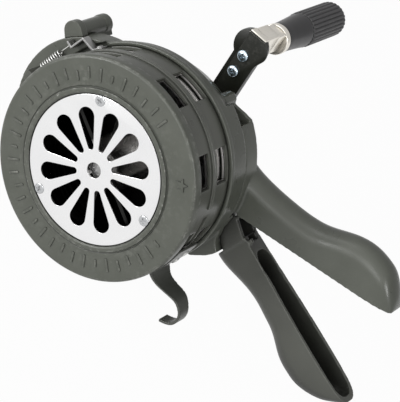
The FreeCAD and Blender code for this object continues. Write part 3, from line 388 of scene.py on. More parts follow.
wearAndShadeLook = {
    "chips": (0.5, 0.62),  # part of the break noise that turns into chips
    "openness": (0.9, 0.35),  # from clear to hidden, for the painted shade
    "groove": (0.49, 0.43),  # pointiness from flat to deep, for the painted shade
    "samples": 6,
}


def buildWearAndShadeGroup():
    # worn edges: high points of the mesh, broken up by noise; painted shade: darker where the mesh
    # is hidden or concave
    tree, start, end = newGroup(
        "edgeWearAndShade",
        [
            ("Start", "NodeSocketFloat", 0.53),
            ("End", "NodeSocketFloat", 0.6),
            ("Break Scale", "NodeSocketFloat", 260.0),
            ("Reach", "NodeSocketFloat", 0.004),
        ],
        [("Worn", "NodeSocketFloat"), ("Painted Shade", "NodeSocketFloat")],
    )
    point = addNode(tree, "ShaderNodeNewGeometry").outputs["Pointiness"]
    coords = objectCoords(tree)
    edge = rangeNode(tree, point, start.outputs["Start"], start.outputs["End"])
    broken = noiseNode(tree, coords, start.outputs["Break Scale"], 4.0, 0.65)
    chips = rangeNode(tree, broken, *wearAndShadeLook["chips"])
    tree.links.new(mathNode(tree, "MULTIPLY", edge, chips, True), end.inputs["Worn"])
    hidden = addNode(tree, "ShaderNodeAmbientOcclusion", samples=wearAndShadeLook["samples"])
    tree.links.new(start.outputs["Reach"], hidden.inputs["Distance"])
    corner = rangeNode(tree, hidden.outputs["AO"], *wearAndShadeLook["openness"])
    groove = rangeNode(tree, point, *wearAndShadeLook["groove"])
    tree.links.new(mathNode(tree, "MAXIMUM", corner, groove, True), end.inputs["Painted Shade"])
    return tree


def buildScratchGroup():
    # fine straight scratches along one axis
    tree, start, end = newGroup(
        "brushLines",
        [
            ("Stretch", "NodeSocketVector", (1.0, 1.0, 1.0)),
            ("Line Scale", "NodeSocketFloat", 1200.0),
        ],
        [("Lines", "NodeSocketFloat")],
    )
    stretched = objectCoords(tree, start.outputs["Stretch"])
    lines = noiseNode(tree, stretched, start.outputs["Line Scale"], 3.0, 0.6)
    tree.links.new(lines, end.inputs["Lines"])
    return tree


grainGroup = buildGrainGroup()
wearAndShadeGroup = buildWearAndShadeGroup()
scratchGroup = buildScratchGroup()


def placeGroup(tree, group, **values):
    node = addNode(tree, "ShaderNodeGroup", node_tree=group)
    for label, value in values.items():
        node.inputs[label.replace("_", " ")].default_value = value
    return node


def startMaterial(name, metallic):
    mat = bpy.data.materials.new(name)
    mat.use_nodes = True
    tree = mat.node_tree
    shader = tree.nodes["Principled BSDF"]
    shader.inputs["Metallic"].default_value = metallic
    return mat, tree, shader


def addBump(tree, shader, height, strength, distance):
    bump = addNode(tree, "ShaderNodeBump")
    bump.inputs["Strength"].default_value = strength
    bump.inputs["Distance"].default_value = distance
    tree.links.new(height, bump.inputs["Height"])
    tree.links.new(bump.outputs["Normal"], shader.inputs["Normal"])


# darkShare is how much of the colour is left in the painted shade of hollows and corners
paintLook = {"patchContrast": 1.6, "patchSpread": (0.2, 0.8), "darkShare": 0.22}
metalLook = {
    "grainScale": 1500.0, "patchContrast": 1.8, "lineSpread": (0.25, 0.75), "darkShare": 0.12,
    "bandStart": 0.002, "bandEnd": 0.001,
}


def paint(name, colour, light, worn, rough=(0.32, 0.44), wear=(0.53, 0.6), wearShare=0.75,
          grain=(800.0, 0.45, 0.00012), patch=45.0, shadeShare=0.85, depth=0.004):
    # paint with slow patches, fine orange peel, rubbed edges and painted shade in its hollows and
    # corners
    mat, tree, shader = startMaterial(name, 0.0)
    grainScale, bumpStrength, bumpDepth = grain
    surface = placeGroup(tree, grainGroup, Grain_Scale=grainScale, Patch_Scale=patch,
                         Patch_Contrast=paintLook["patchContrast"])
    wornAndShaded = placeGroup(tree, wearAndShadeGroup, Start=wear[0], End=wear[1], Reach=depth)
    base = mixColour(tree, surface.outputs["Patch"], colour, light)
    amount = mathNode(tree, "MULTIPLY", wornAndShaded.outputs["Worn"], wearShare)
    shown = mixColour(tree, amount, base, worn)
    # painted shade: the colour goes darker where the mesh is hidden or concave
    paintedShade = mathNode(tree, "MULTIPLY", wornAndShaded.outputs["Painted Shade"], shadeShare)
    dark = tuple(c * paintLook["darkShare"] for c in colour)
    tree.links.new(mixColour(tree, paintedShade, shown, dark), shader.inputs["Base Color"])
    roughness = rangeNode(tree, surface.outputs["Patch"], *paintLook["patchSpread"], *rough)
    tree.links.new(roughness, shader.inputs["Roughness"])
    addBump(tree, shader, surface.outputs["Grain"], bumpStrength, bumpDepth)
    return mat


def insideShadeBand(tree, inner, outer):
    # 1 between two distances from the siren's axis, with soft ends: where an inside gets a
    # near-black painted shade
    flat = objectCoords(tree, (1.0, 0.0, 1.0))
    length = addNode(tree, "ShaderNodeVectorMath", operation="LENGTH")
    tree.links.new(flat, length.inputs[0])
    radius = length.outputs["Value"]
    outside = rangeNode(tree, radius, inner, inner + metalLook["bandStart"])
    inside = rangeNode(tree, radius, outer, outer - metalLook["bandEnd"])
    return mathNode(tree, "MULTIPLY", outside, inside)


def metal(name, colour, dull, rough=(0.2, 0.36), lines=(1.0, 1.0, 1.0), lineScale=900.0,
          bump=(0.12, 0.00002), patch=60.0, depth=0.003, shadow=0.6, shadedInside=None):
    # bare metal with fine lines and dull patches, with painted shade in its hollows and corners
    mat, tree, shader = startMaterial(name, 1.0)
    surface = placeGroup(tree, grainGroup, Grain_Scale=metalLook["grainScale"],
                         Patch_Scale=patch, Patch_Contrast=metalLook["patchContrast"])
    brushed = placeGroup(tree, scratchGroup, Stretch=lines, Line_Scale=lineScale)
    both = mathNode(tree, "MULTIPLY", surface.outputs["Patch"], brushed.outputs["Lines"])
    wornAndShaded = placeGroup(tree, wearAndShadeGroup, Reach=depth)
    # painted shade: the colour goes darker where the mesh is hidden or concave
    paintedShade = mathNode(tree, "MULTIPLY", wornAndShaded.outputs["Painted Shade"], shadow)
    dark = tuple(c * metalLook["darkShare"] for c in dull)
    shown = mixColour(tree, both, colour, dull)
    if shadedInside:  # in this band the piece's inside is painted near-black: painted shade
        band = insideShadeBand(tree, shadedInside["inner"], shadedInside["outer"])
        shown = mixColour(tree, band, shown, shadedInside["colour"])
        shadowBand = mathNode(tree, "MAXIMUM", band, shadedInside["rimShadow"])
        paintedShade = mathNode(tree, "MULTIPLY", paintedShade, shadowBand)
    tree.links.new(mixColour(tree, paintedShade, shown, dark), shader.inputs["Base Color"])
    roughness = rangeNode(tree, brushed.outputs["Lines"], *metalLook["lineSpread"], *rough)
    tree.links.new(roughness, shader.inputs["Roughness"])
    addBump(tree, shader, brushed.outputs["Lines"], *bump)
    return mat


castLook = {
    "colour": (0.08, 0.086, 0.07),
    "light": (0.108, 0.114, 0.096),
    "worn": (0.3, 0.3, 0.27),
}
castColours = (castLook["colour"], castLook["light"], castLook["worn"])
castPaint = paint("castPaint", *castColours, rough=(0.25, 0.37))
# the ring's rubbed rim is lighter and wider than elsewhere: partly real chips, partly a painted
# edge highlight
ringPaint = paint("ringPaint", castLook["colour"], castLook["light"], (0.42, 0.42, 0.39),
                  wear=(0.505, 0.53), wearShare=0.9)
markPaint = paint("markPaint", *castColours, wear=(0.54, 0.6), wearShare=0.45)
# a lighter copy of the cast paint for the drum: painted light on its sides
litDrumPaint = paint("litDrumPaint", (0.09, 0.094, 0.08), (0.12, 0.124, 0.107), castLook["worn"],
                  rough=(0.26, 0.38))
# a darker copy of the cast paint for the lower grip, with painted shade reaching deep so its
# channel goes near-black
shadedLowerGripPaint = paint("shadedLowerGripPaint", (0.07, 0.073, 0.062), (0.09, 0.093, 0.08),
                       castLook["worn"], shadeShare=0.97, depth=0.03)
triggerPaint = paint("triggerPaint", (0.06, 0.063, 0.055), (0.08, 0.083, 0.073),
                     castLook["worn"], rough=(0.28, 0.4))
armPaint = paint("armPaint", (0.008, 0.009, 0.006), (0.014, 0.015, 0.011), (0.16, 0.16, 0.14),
                 rough=(0.26, 0.36), wearShare=0.1, grain=(1200.0, 0.12, 0.00003))
gripPlastic = paint("gripPlastic", (0.022, 0.021, 0.023), (0.032, 0.031, 0.033), (0.1, 0.1, 0.1),
                    rough=(0.3, 0.4), grain=(2200.0, 0.2, 0.00004), patch=80.0, wearShare=0.3)
sleevePlastic = paint("sleevePlastic", (0.058, 0.057, 0.059), (0.078, 0.077, 0.079),
                      (0.14, 0.14, 0.14), rough=(0.42, 0.52), grain=(2400.0, 0.3, 0.00005),
                      patch=80.0, wearShare=0.4)
polished = metal("polishedPlate", (0.93, 0.93, 0.93), (0.86, 0.86, 0.87), rough=(0.1, 0.2),
                 lines=(1.0, 1.0, 0.12), lineScale=1800.0, bump=(0.05, 0.00001), patch=30.0)
# a darker copy of the screw zinc for the grille screws: painted shade in place of their darker
# reflections
shadedGrilleZinc = metal("grilleScrewZincShaded", (0.6, 0.61, 0.62), (0.4, 0.41, 0.42), rough=(0.16, 0.28))
zinc = metal("zincScrews", (0.66, 0.77, 0.85), (0.4, 0.5, 0.58), rough=(0.16, 0.28))
nickel = metal("bracketNickel", (0.95, 0.91, 0.84), (0.8, 0.76, 0.68), rough=(0.3, 0.42),
               lines=(1.0, 0.1, 1.0), lineScale=700.0, bump=(0.06, 0.00001))
plated = metal("platedSteel", (0.62, 0.62, 0.6), (0.46, 0.46, 0.45), rough=(0.28, 0.42))
groundSteel = metal("groundSteel", (0.6, 0.6, 0.6), (0.48, 0.48, 0.48), rough=(0.2, 0.34),
                    lines=(0.1, 1.0, 0.1))
gearSteel = metal("gearSteel", (0.4, 0.4, 0.4), (0.24, 0.23, 0.21), rough=(0.3, 0.5))
bronze = metal("bronzeBush", (0.58, 0.4, 0.2), (0.4, 0.27, 0.13), rough=(0.32, 0.5))
springSteel = metal("springSteel", (0.78, 0.78, 0.76), (0.55, 0.55, 0.54), rough=(0.2, 0.3))
# the rotor is painted near-black between hub and rim and darkened deep into its hollows: painted
# shade of the siren's inside
rotorMetal = metal(
    "rotorAluminium", (0.66, 0.65, 0.64), (0.4, 0.39, 0.38), rough=(0.22, 0.4),
    lines=(0.15, 1.0, 0.15), lineScale=1100.0, depth=0.008, shadow=0.92,
    shadedInside={"inner": 0.017, "outer": 0.0645, "rimShadow": 0.1, "colour": (0.03, 0.03, 0.029)},
)
# the shutter ring is painted near-black inside its outer skin: painted shade of the siren's inside
shutterMetal = metal(
    "shutterSteel", (0.8, 0.79, 0.77), (0.58, 0.57, 0.56), rough=(0.3, 0.46),
    lines=(1.0, 0.15, 1.0),
    shadedInside={"inner": -0.01, "outer": 0.0686, "rimShadow": 0.15, "colour": (0.02, 0.02, 0.019)},
)
print("siren: materials")

ring = {
    "marks": 36, "markStart": 103.8, "markEnd": 385.8, "markWidth": 1.6,
    "markTop": 0.5, "markBase": 1.5, "markEdge": 0.35,
    "markOuter": (65.0, 67.5, 67.5),  # repeats every third mark
    "markInner": (60.0, 58.5),  # repeats every second mark
    "steps": 240,
    "profile": [
        (43, 2), (50.55, 2), (50.55, 0.7), (51.6, 0), (54, 0),
        (54.3, 1.55), (55.1, 1.55), (55.4, 1.2), (73.2, 1.2), (74.5, 1.9),
        (75, 3.4), (75, 9), (72.05, 9), (72.05, 4.4), (43, 4.4),
    ],
    "rounding": [0.2, 0.1, 0.4, 0.5, 0.5, 0.2, 0.2, 0.4, 0.6, 0.7, 0.7, 0.6, 0.2, 0.2, 0.3],
}
star = {"radius": 65.0, "clock": 62.3, "tip": 4.6, "notch": 1.93, "top": 0.5, "base": 1.6}
ringBody = lathe("ringBody", rounded(ring["profile"], ring["rounding"]), ring["steps"])
shade(ringBody, 40)
place(ringBody, "root", ringPaint, "cast_paint", "front_ring")
bars = []
markSpan = ring["markEnd"] - ring["markStart"]
for k in range(ring["marks"]):
    clock = ring["markStart"] + markSpan * k / (ring["marks"] - 1)
    outer = ring["markOuter"][k % 3]
    inner = ring["markInner"][k % 2]
    half = ring["markWidth"] / 2
    low, high = (-half, ring["markTop"], inner), (half, ring["markBase"], outer)
    bar = brick("bar", low, high, ring["markEdge"])
    bar.data.transform(Matrix.Rotation(math.radians(clock), 4, "Y"))
    bars.append(bar)
ringMarks = joined("ringMarks", bars)
shade(ringMarks, 50)
place(ringMarks, "root", markPaint, "cast_paint", "front_ring")
starAt = polar(star["radius"], star["clock"])
starPoints = []
for k in range(10):
    reach = star["notch"] if k % 2 else star["tip"]
    starPoints.append(polar(reach, star["clock"] + 36 * k, *starAt))
ringStar = flatPlate("ringStar", [starPoints], star["top"], star["base"], 0.25)
shade(ringStar)
place(ringStar, "root", markPaint, "cast_paint", "front_ring")

grille = {"radius": 49.75, "hole": 5.2, "front": 0.8, "back": 2.0, "edge": 0.22}
slots = {
    "count": 12, "phase": -6.2, "reach": 35.6, "radius": 5.9,
    "innerReach": 15.6, "innerRadius": 2.1, "outerSteps": 24, "innerSteps": 12,
}
taper = (slots["radius"] - slots["innerRadius"]) / (slots["reach"] - slots["innerReach"])
tilt = math.asin(taper)


def slotArc(radius, reach, start, span, steps):
    points = []
    for k in range(steps + 1):
        a = start + span * k / steps
        points.append((radius * math.cos(a), reach + radius * math.sin(a)))
    return points


drop = slotArc(slots["radius"], slots["reach"], -tilt, math.pi + 2 * tilt, slots["outerSteps"])
drop += slotArc(slots["innerRadius"], slots["innerReach"], math.pi + tilt, math.pi - 2 * tilt,
                slots["innerSteps"])
loops = [circle(grille["radius"], steps=180), circle(grille["hole"])]
for k in range(slots["count"]):
    a = math.radians(slots["phase"] + 360 / slots["count"] * k)
    across, up = math.cos(a), math.sin(a)
    loops.append([(x * across + z * up, z * across - x * up) for x, z in drop])
grillePlate = flatPlate("grillePlate", loops, grille["front"], grille["back"], grille["edge"])
shade(grillePlate)
place(grillePlate, "root", polished, "polished_plate", "grille")

headShape = {
    "steps": 48, "domeSteps": 8, "seatChamfer": 0.15, "seatRise": 0.2,
    "slotShare": 0.22, "slotExtra": 0.12, "depthShare": 0.45,
    "barTops": (1.0, 1.2), "barEdge": 0.01, "shorter": 0.98, "shallower": 0.01,
}


def crossHead(name, radius, height, dome, recess):
    # pan head seen from -Y, with a cross recess; its seat lies at y = 0
    rim = -(height - dome)
    profile = [(0, 0), (radius - headShape["seatChamfer"], 0)]
    profile += [(radius, -headShape["seatRise"]), (radius, rim)]
    for k in range(1, headShape["domeSteps"]):
        a = math.pi / 2 * k / headShape["domeSteps"]
        profile.append((radius * math.cos(a), rim - dome * math.sin(a)))
    head = lathe(name, profile + [(0, -height)], headShape["steps"])
    cut = headShape["slotShare"] * recess + headShape["slotExtra"]
    depth = height * headShape["depthShare"]
    topA, topB = (-height - rise for rise in headShape["barTops"])
    edge, short = headShape["barEdge"], recess * headShape["shorter"]
    shallow = -depth - height * headShape["shallower"]  # keeps the two bars' faces apart
    tool = joined("tool", [
        brick("toolA", (-recess, topA, -cut), (recess, -depth, cut), edge),
        brick("toolB", (-cut, topB, -short), (cut, shallow, short), edge),
    ])
    mod = head.modifiers.new("recess", "BOOLEAN")
    mod.operation = "DIFFERENCE"
    mod.solver = "EXACT"
    mod.use_self = True
    mod.object = tool
    head = bake(head)
    bpy.data.objects.remove(tool)
    shade(head, 32)
    return head


def headsAt(name, head, places, clocks):
    # copies of one head, each turned by its own clock
    copies = []
    for at, clock in zip(places, clocks):
        copy = newObject("copy", head.data.copy())
        turned = Matrix.Rotation(math.radians(clock), 4, "Y")
        copy.data.transform(Matrix.Translation(at) @ turned)
        copies.append(copy)
    bpy.data.objects.remove(head)
    return joined(name, copies)


screws = {
    "count": 3, "circle": 46.5, "phase": -21.2, "seat": 0.8,
    "head": 3.5, "height": 0.75, "dome": 0.6, "recess": 1.9, "clocks": (10, 55, 80),
}
places = []
for k in range(screws["count"]):
    x, z = polar(screws["circle"], screws["phase"] + 360 / screws["count"] * k)
    places.append((x, screws["seat"], z))
grilleHead = crossHead("grilleHead", screws["head"], screws["height"], screws["dome"],
                       screws["recess"])
grilleScrews = headsAt("grilleScrews", grilleHead, places, screws["clocks"])
place(grilleScrews, "root", shadedGrilleZinc, "zinc_screws", "grille_screws")
print("siren: ring and grille")

drum = {
    "radius": 72.0, "wall": 2.6, "edge": 0.4, "step": 1.5, "cutMargin": 0.5,
    "front": 4.4, "seat": 9.0, "back": 50.5,
    "windows": 8, "windowPhase": 13.8, "windowHalf": 9.3,
    "windowRows": ((11.5, 25.0), (33.5, 47.0)),
    "triggerSlot": (85.5, 120.5, 26.4, 32.1),  # first and last clock, front and back
    "springSlot": (252.9, 280.9, 27.15, 31.35),
}
gaps = []
for k in range(drum["windows"]):
    middle = drum["windowPhase"] + 360 / drum["windows"] * k
    for y0, y1 in drum["windowRows"]:
        gaps.append((middle - drum["windowHalf"], middle + drum["windowHalf"], y0, y1))
gaps += [drum["triggerSlot"], drum["springSlot"]]
cuts = sorted({round(v % 360, 3) for gap in gaps for v in gap[:2]})
angles = list(cuts)
for k in range(int(360 / drum["step"])):
    a = k * drum["step"]
    if min(min(abs(a - c), 360 - abs(a - c)) for c in cuts) > drum["cutMargin"]:
        angles.append(a)
angles.sort()
levels = sorted({drum["front"], drum["seat"], drum["back"]} | {v for gap in gaps for v in gap[2:]})
rows = len(levels)


def isOpen(clock, y):
    for first, last, y0, y1 in gaps:
        if (clock - first) % 360 < last - first and y0 < y < y1:
            return True
    return False


verts, faces = [], []
for a in angles:
    x, z = polar(drum["radius"], a)
    verts += [(x, y, z) for y in levels]
for i, a in enumerate(angles):
    n = (i + 1) % len(angles)
    middle = ((a + angles[n] + (0 if n else 360)) / 2) % 360
    for j in range(rows - 1):
        if not isOpen(middle, (levels[j] + levels[j + 1]) / 2):
            corners = (i * rows + j, n * rows + j, n * rows + j + 1, i * rows + j + 1)
            faces.append(corners)
drumShell = makeMesh("drumShell", verts, faces)
solid = drumShell.modifiers.new("wall", "SOLIDIFY")
solid.thickness = drum["wall"]
solid.offset = -1.0
drumShell = bake(drumShell)
drumShell = edgeBevel(drumShell, drum["edge"], angle=40)
shade(drumShell, 40)
place(drumShell, "root", litDrumPaint, "cast_paint", "stator_drum")
rib = {
    "clocks": (128, 440), "steps": 200,
    "profile": [(71.6, 27), (73.2, 27), (73.2, 29.1), (72.75, 29.5), (73.2, 29.9), (73.2, 32),
                (71.6, 32)],
    "rounding": [0.05, 0.6, 0.2, 0.1, 0.2, 0.6, 0.05],
}
ribProfile = rounded(rib["profile"], rib["rounding"])
drumRib = lathe("drumRib", ribProfile, rib["steps"], clocks=rib["clocks"])
shade(drumRib, 40)
place(drumRib, "root", litDrumPaint, "cast_paint", "stator_drum")
print("siren: drum")

# piece, voxel, smoothing rounds, share of faces kept, body, material, slot
castings = {
    "housing": ("housingCast", 0.7, 5, 0.3, "root", castPaint, "cast_paint"),
    "rear_cover": ("coverCast", 0.7, 5, 0.25, "root", castPaint, "cast_paint"),
    "lower_grip": ("lowerGripCast", 0.6, 5, 0.3, "lower_grip", shadedLowerGripPaint, "cast_paint"),
    "top_lug": ("topLugCast", 0.35, 8, 0.4, "root", castPaint, "cast_paint"),
    "trigger": ("triggerStrip", 0.35, 2, 0.5, "shutter", triggerPaint, "trigger_paint"),
}
castPieces(castings)

spring = {
    "coil": 2.9, "wire": 0.5, "turns": 10, "turnSteps": 20, "start": 4.05, "length": 21.0,
    "y": 40.4, "armRadius": 85.5, "armClock": -83.1, "fixedRadius": 82.2, "fixedClock": -58.8,
    "taper": 8, "taperStart": 0.15,
}
ax, az = polar(spring["armRadius"], spring["armClock"])
bx, bz = polar(spring["fixedRadius"], spring["fixedClock"])
armEnd, fixedEnd = Vector((ax, spring["y"], az)), Vector((bx, spring["y"], bz))
along = (fixedEnd - armEnd).normalized()
side = along.cross(Vector((0, 1, 0))).normalized()
up = along.cross(side)
centre = spring["coil"] - spring["wire"]
line = [armEnd + along * reach for reach in (-1.0, 1.5, spring["start"] - 0.5)]
steps = spring["turns"] * spring["turnSteps"]
for k in range(steps + 1):
    t = k / steps
    a = 2 * math.pi * spring["turns"] * t
    ends = [spring["taper"] * share + spring["taperStart"] for share in (t, 1 - t)]
    wide = centre * min(1, *ends)
    middle = armEnd + along * (spring["start"] + spring["length"] * t)
    line.append(middle + side * wide * math.cos(a) + up * wide * math.sin(a))
line += [fixedEnd + along * reach for reach in (-4.5, -1.0, 1.1)]
wire = bpy.data.curves.new("returnSpring", "CURVE")
wire.dimensions = "3D"
wire.bevel_depth = spring["wire"]
wire.bevel_resolution = 3
wire.use_fill_caps = True
track = wire.splines.new("POLY")
track.points.add(len(line) - 1)
for point, co in zip(track.points, line):
    point.co = (*co, 1)
returnSpring = bake(newObject("returnSpring", wire))
shade(returnSpring, 60)
returnSpring.data.transform(layDown)
setMaterial(returnSpring, springSteel)
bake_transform(returnSpring)
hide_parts("return_spring")
castPieces({
    "spring_arm": ("shutterArm", 0.3, 3, 0.6, "shutter", litDrumPaint, "shutter_metal"),
    "spring_anchor": ("springAnchor", 0.25, 2, 0.6, "root", gearSteel, "shutter_metal"),
})
print("siren: spring")

crank = {
    "angle": 5.6, "axis": 9.0, "front": 105.0, "back": 109.0, "reach": 86.0, "edge": 0.45,
    "hubRadius": 13.0, "headRadius": 12.6, "bore": 5.0,
    "hubLeft": (-8.4, 9.92), "hubRight": (10.4, 7.8),  # where the sides leave the hub
    "headRight": (10.4, -7.11), "headTop": (7.79, 9.9),  # seen from the head's centre
    "headCut": (-5.3, 11.43), "headLeft": (-8.4, -9.39),
    "notch": (-5.3, 95.9),  # inner corner of the step that the bracket's sheet lies in
}
armTurn = Matrix.Rotation(math.radians(crank["angle"]), 4, "Y")
armPlace = Matrix.Translation((crank["axis"], 0, 0)) @ armTurn


def onArm(obj):
    # arm pieces are drawn upright above the crank shaft, then turned with the arm
    obj.data.transform(armPlace)
    return obj


def arcPoints(radius, x0, z0, start, end, steps):
    # start and end are degrees from +X towards +Z
    out = []
    for k in range(steps + 1):
        a = math.radians(start + (end - start) * k / steps)
        out.append((x0 + radius * math.cos(a), z0 + radius * math.sin(a)))
    return out


def degreesOf(x, z):
    return math.degrees(math.atan2(z, x))


def headArc(first, last, lap=0):
    # arc of the head between two of the points named in crank
    start, end = degreesOf(*crank[first]), degreesOf(*crank[last]) + lap
    return arcPoints(crank["headRadius"], 0, crank["reach"], start, end, 20)


hubStart, hubEnd = degreesOf(*crank["hubLeft"]), degreesOf(*crank["hubRight"]) + 360
outline = arcPoints(crank["hubRadius"], 0, 0, hubStart, hubEnd, 40)
outline += headArc("headRight", "headTop")
outline += [crank["notch"]] + headArc("headCut", "headLeft", 360)
armBar = flatPlate("armBar", [outline, circle(crank["bore"])], crank["front"], crank["back"],
                   crank["edge"])
shade(armBar)
place(onArm(armBar), "crank", armPaint, "arm_black", "crank_arm")

bracket = {
    "sheet": 1.5, "left": -5.3, "right": 7.6, "top": 97.4, "low": 74.8, "reach": 15.5,
    "bend": 1.9, "front": 103.5, "lap": 1, "edge": 0.2, "frontEdge": 0.3,
    "plate": [
        (-5.3, 46), (10.4, 46), (10.4, 74.5), (10.6, 77.5),
        (14.2, 85.5), (13.9, 89.7), (7.6, 96.6), (-5.3, 96.6),
    ],
    "plateRounding": [1.5, 1.5, 1.0, 2.0, 3.0, 2.5, 0.4, 0.4],
}
left, right, top, low = (bracket[side] for side in ("left", "right", "top", "low"))
sheet = bracket["sheet"]
frontOutline = rounded(bracket["plate"], bracket["plateRounding"])
bracketFront = flatPlate("bracketFront", [frontOutline], bracket["front"], crank["front"],
                         bracket["frontEdge"])
shade(bracketFront)
place(onArm(bracketFront), "crank", armPaint, "bracket_nickel", "fold_bracket")

bend = bracket["bend"]
over = []
for angle in range(90, -1, -10):
    a = math.radians(angle)
    over.append((bracket["front"] + bend * (1 - math.sin(a)), top - bend * (1 - math.cos(a))))
foldBack = crank["back"] + bracket["lap"]
under = [(foldBack, top - sheet), (crank["front"], top - sheet), (104.9, 95.4)]
under.append((bracket["front"], 95.4))
bracketBend = extrudeX("bracketBend", over + [(foldBack, top)] + under, left, right,
                       bracket["edge"])
channel = rounded(
    [
        (left, low), (left, top), (right, top), (right, low),
        (right - sheet, low), (right - sheet, top - sheet),
        (left + sheet, top - sheet), (left + sheet, low),
    ],
    [0.5, bend, bend, 0.5, 0.5, 0.5, 0.5, 0.5], 8,
)
channelBack = crank["back"] + bracket["reach"]
bracketChannel = flatPlate("bracketChannel", [channel], crank["back"], channelBack,
                           bracket["edge"])
bracketFold = joined("bracketFold", [bracketBend, bracketChannel])
shade(bracketFold)
place(onArm(bracketFold), "crank", nickel, "bracket_nickel", "fold_bracket")

armScrews = {
    "head": 3.9, "height": 2.4, "dome": 1.3, "recess": 2.0,
    "spots": ((0, 103.5, 65.4), (0, 103.5, 78.8)), "clocks": (25, -8),
}
crankHead = crossHead("crankHead", armScrews["head"], armScrews["height"], armScrews["dome"],
                      armScrews["recess"])
crankScrews = headsAt("crankScrews", crankHead, armScrews["spots"], armScrews["clocks"])
place(onArm(crankScrews), "crank", zinc, "zinc_screws", "crank_screws")

fold = {"radius": 2.0, "y": 119.0, "z": 78.4, "edge": 0.3}
foldProfile = rounded(
    [(0, left), (fold["radius"], left), (fold["radius"], right), (0, right)],
    [0, fold["edge"], fold["edge"], 0],
)
foldPin = lathe("foldPin", foldProfile, 48)
lyingX = Matrix.Rotation(-math.pi / 2, 4, "Z")
foldPin.data.transform(Matrix.Translation((0, fold["y"], fold["z"])) @ lyingX)
shade(foldPin)
place(onArm(foldPin), "crank", plated, "plated_steel", "fold_pin")

knuckle = {
    "eye": 4.0, "back": 136.4, "left": -3.5, "right": 5.8, "edge": 0.5,
    "headLow": (-5.0, 125.4, 81.0), "headHigh": (7.3, 136.4, 95.4), "headEdge": 0.7,
}
block = [(knuckle["back"], 81), (knuckle["back"], 91), (116.2, 91), (115, 89.5)]
block += arcPoints(knuckle["eye"], fold["y"], fold["z"], 180, 360, 16) + [(123, 81)]
knuckleBar = extrudeX("knuckleBar", block, knuckle["left"], knuckle["right"], knuckle["edge"])
knuckleHead = brick("knuckleHead", knuckle["headLow"], knuckle["headHigh"],
                    knuckle["headEdge"])
knuckleBlock = joined("knuckleBlock", [knuckleBar, knuckleHead])
shade(knuckleBlock)
place(onArm(knuckleBlock), "handle", nickel, "bracket_nickel", "handle_knuckle")

handle = {
    "x": 1.15, "z": 86.0, "steps": 96,
    "collar": [(3, 136.5), (10.6, 136.5), (10.6, 141.5), (3, 141.5)],
    "collarRounding": [0.1, 0.9, 0.5, 0.1],
    "core": [
        (3.1, 141.8), (10.2, 141.8), (10.35, 150), (10.9, 160), (11.8, 172.2),
        (11.3, 174.2), (9, 174.3), (9, 214), (3.1, 214),
    ],
    "coreRounding": [0.1, 0.8, 2, 2, 0.9, 0.3, 0.1, 0.2, 0.1],
    # radius, y and how deep the flutes are cut, in front of the fluted length and behind it
    "sleeveFront": [(9.0, 174.3, 0), (11.4, 174.3, 0), (12.1, 174.55, 0.6), (12.35, 175.1, 1)],
    "sleeveBack": [(12.4, 218.5, 0.9), (12.4, 219.5, 0.75)],
    "sleeve": 12.4, "fluteStart": 176, "fluteLength": 40.5, "rows": 12,
    "flutes": 26, "fluteSteps": 10, "fluteDepth": 0.75, "fluteShare": 0.3, "ridge": 0.12,
    "fluteCurve": 0.8, "fade": 0.6,
    "roundRadius": 4.2, "roundStart": 220.1, "end": 224.3, "dish": 0.5,
}
collarProfile = rounded(handle["collar"], handle["collarRounding"])
gripCollar = lathe("gripCollar", collarProfile, handle["steps"], handle["x"], handle["z"])
shade(gripCollar)
place(onArm(gripCollar), "handle", nickel, "bracket_nickel", "grip_collar")
coreProfile = rounded(handle["core"], handle["coreRounding"])
gripCore = lathe("gripCore", coreProfile, handle["steps"], handle["x"], handle["z"])
shade(gripCore)
place(onArm(gripCore), "grip", gripPlastic, "grip_plastic", "crank_grip_core")

sleeve = handle["sleeve"]
sleeveRows = list(handle["sleeveFront"])
for k in range(handle["rows"] + 1):
    y = handle["fluteStart"] + handle["fluteLength"] * k / handle["rows"]
    sleeveRows.append((sleeve, y, 1))
sleeveRows += handle["sleeveBack"]
bendAt, fade = sleeve - handle["roundRadius"], handle["fade"]
for angle in range(0, 91, 10):
    a = math.radians(angle)
    radius = bendAt + handle["roundRadius"] * math.cos(a)
    y = handle["roundStart"] + handle["roundRadius"] * math.sin(a)
    sleeveRows.append((radius, y, fade * max(0, math.cos(a) - fade) / (1 - fade)))
dishY = handle["end"] - handle["dish"]
sleeveRows += [(7.6, handle["end"], 0), (6.9, dishY, 0), (3.0, dishY, 0), (0.01, dishY, 0)]
verts, faces = [], []
count = handle["flutes"] * handle["fluteSteps"]
for k in range(count):
    phase = (k % handle["fluteSteps"]) / handle["fluteSteps"]
    groove = max(0.0, 1 - abs(phase - 0.5) / handle["fluteShare"]) ** handle["fluteCurve"]
    ridge = handle["ridge"] * (1 - abs(phase - 0.5) * 2)
    for radius, y, share in sleeveRows:
        r = radius - share * (handle["fluteDepth"] * groove + ridge)
        x, z = polar(r, 360 * k / count, handle["x"], handle["z"])
        verts.append((x, y, z))
n = len(sleeveRows)
for k in range(count):
    m = (k + 1) % count
    for j in range(n - 1):
        faces.append((k * n + j, k * n + j + 1, m * n + j + 1, m * n + j))
gripSleeve = makeMesh("gripSleeve", verts, faces)
shade(gripSleeve, 60)
place(onArm(gripSleeve), "grip", sleevePlastic, "grip_plastic", "crank_grip_sleeve")
print("siren: crank")


# across flats, bore radius, front, back
nuts = {"crankNut": (16.0, 5.0, 109.0, 112.6), "rotorNut": (13.0, 4.0, 6.5, 11.0)}
# outer and inner radius, front, back
washers = {"crankWasher": (9.5, 6.0, 102.8, 105.0), "rotorWasher": (8.5, 4.0, 11.0, 12.5)}
fastenerEdge = {"nut": 0.35, "washer": 0.25}


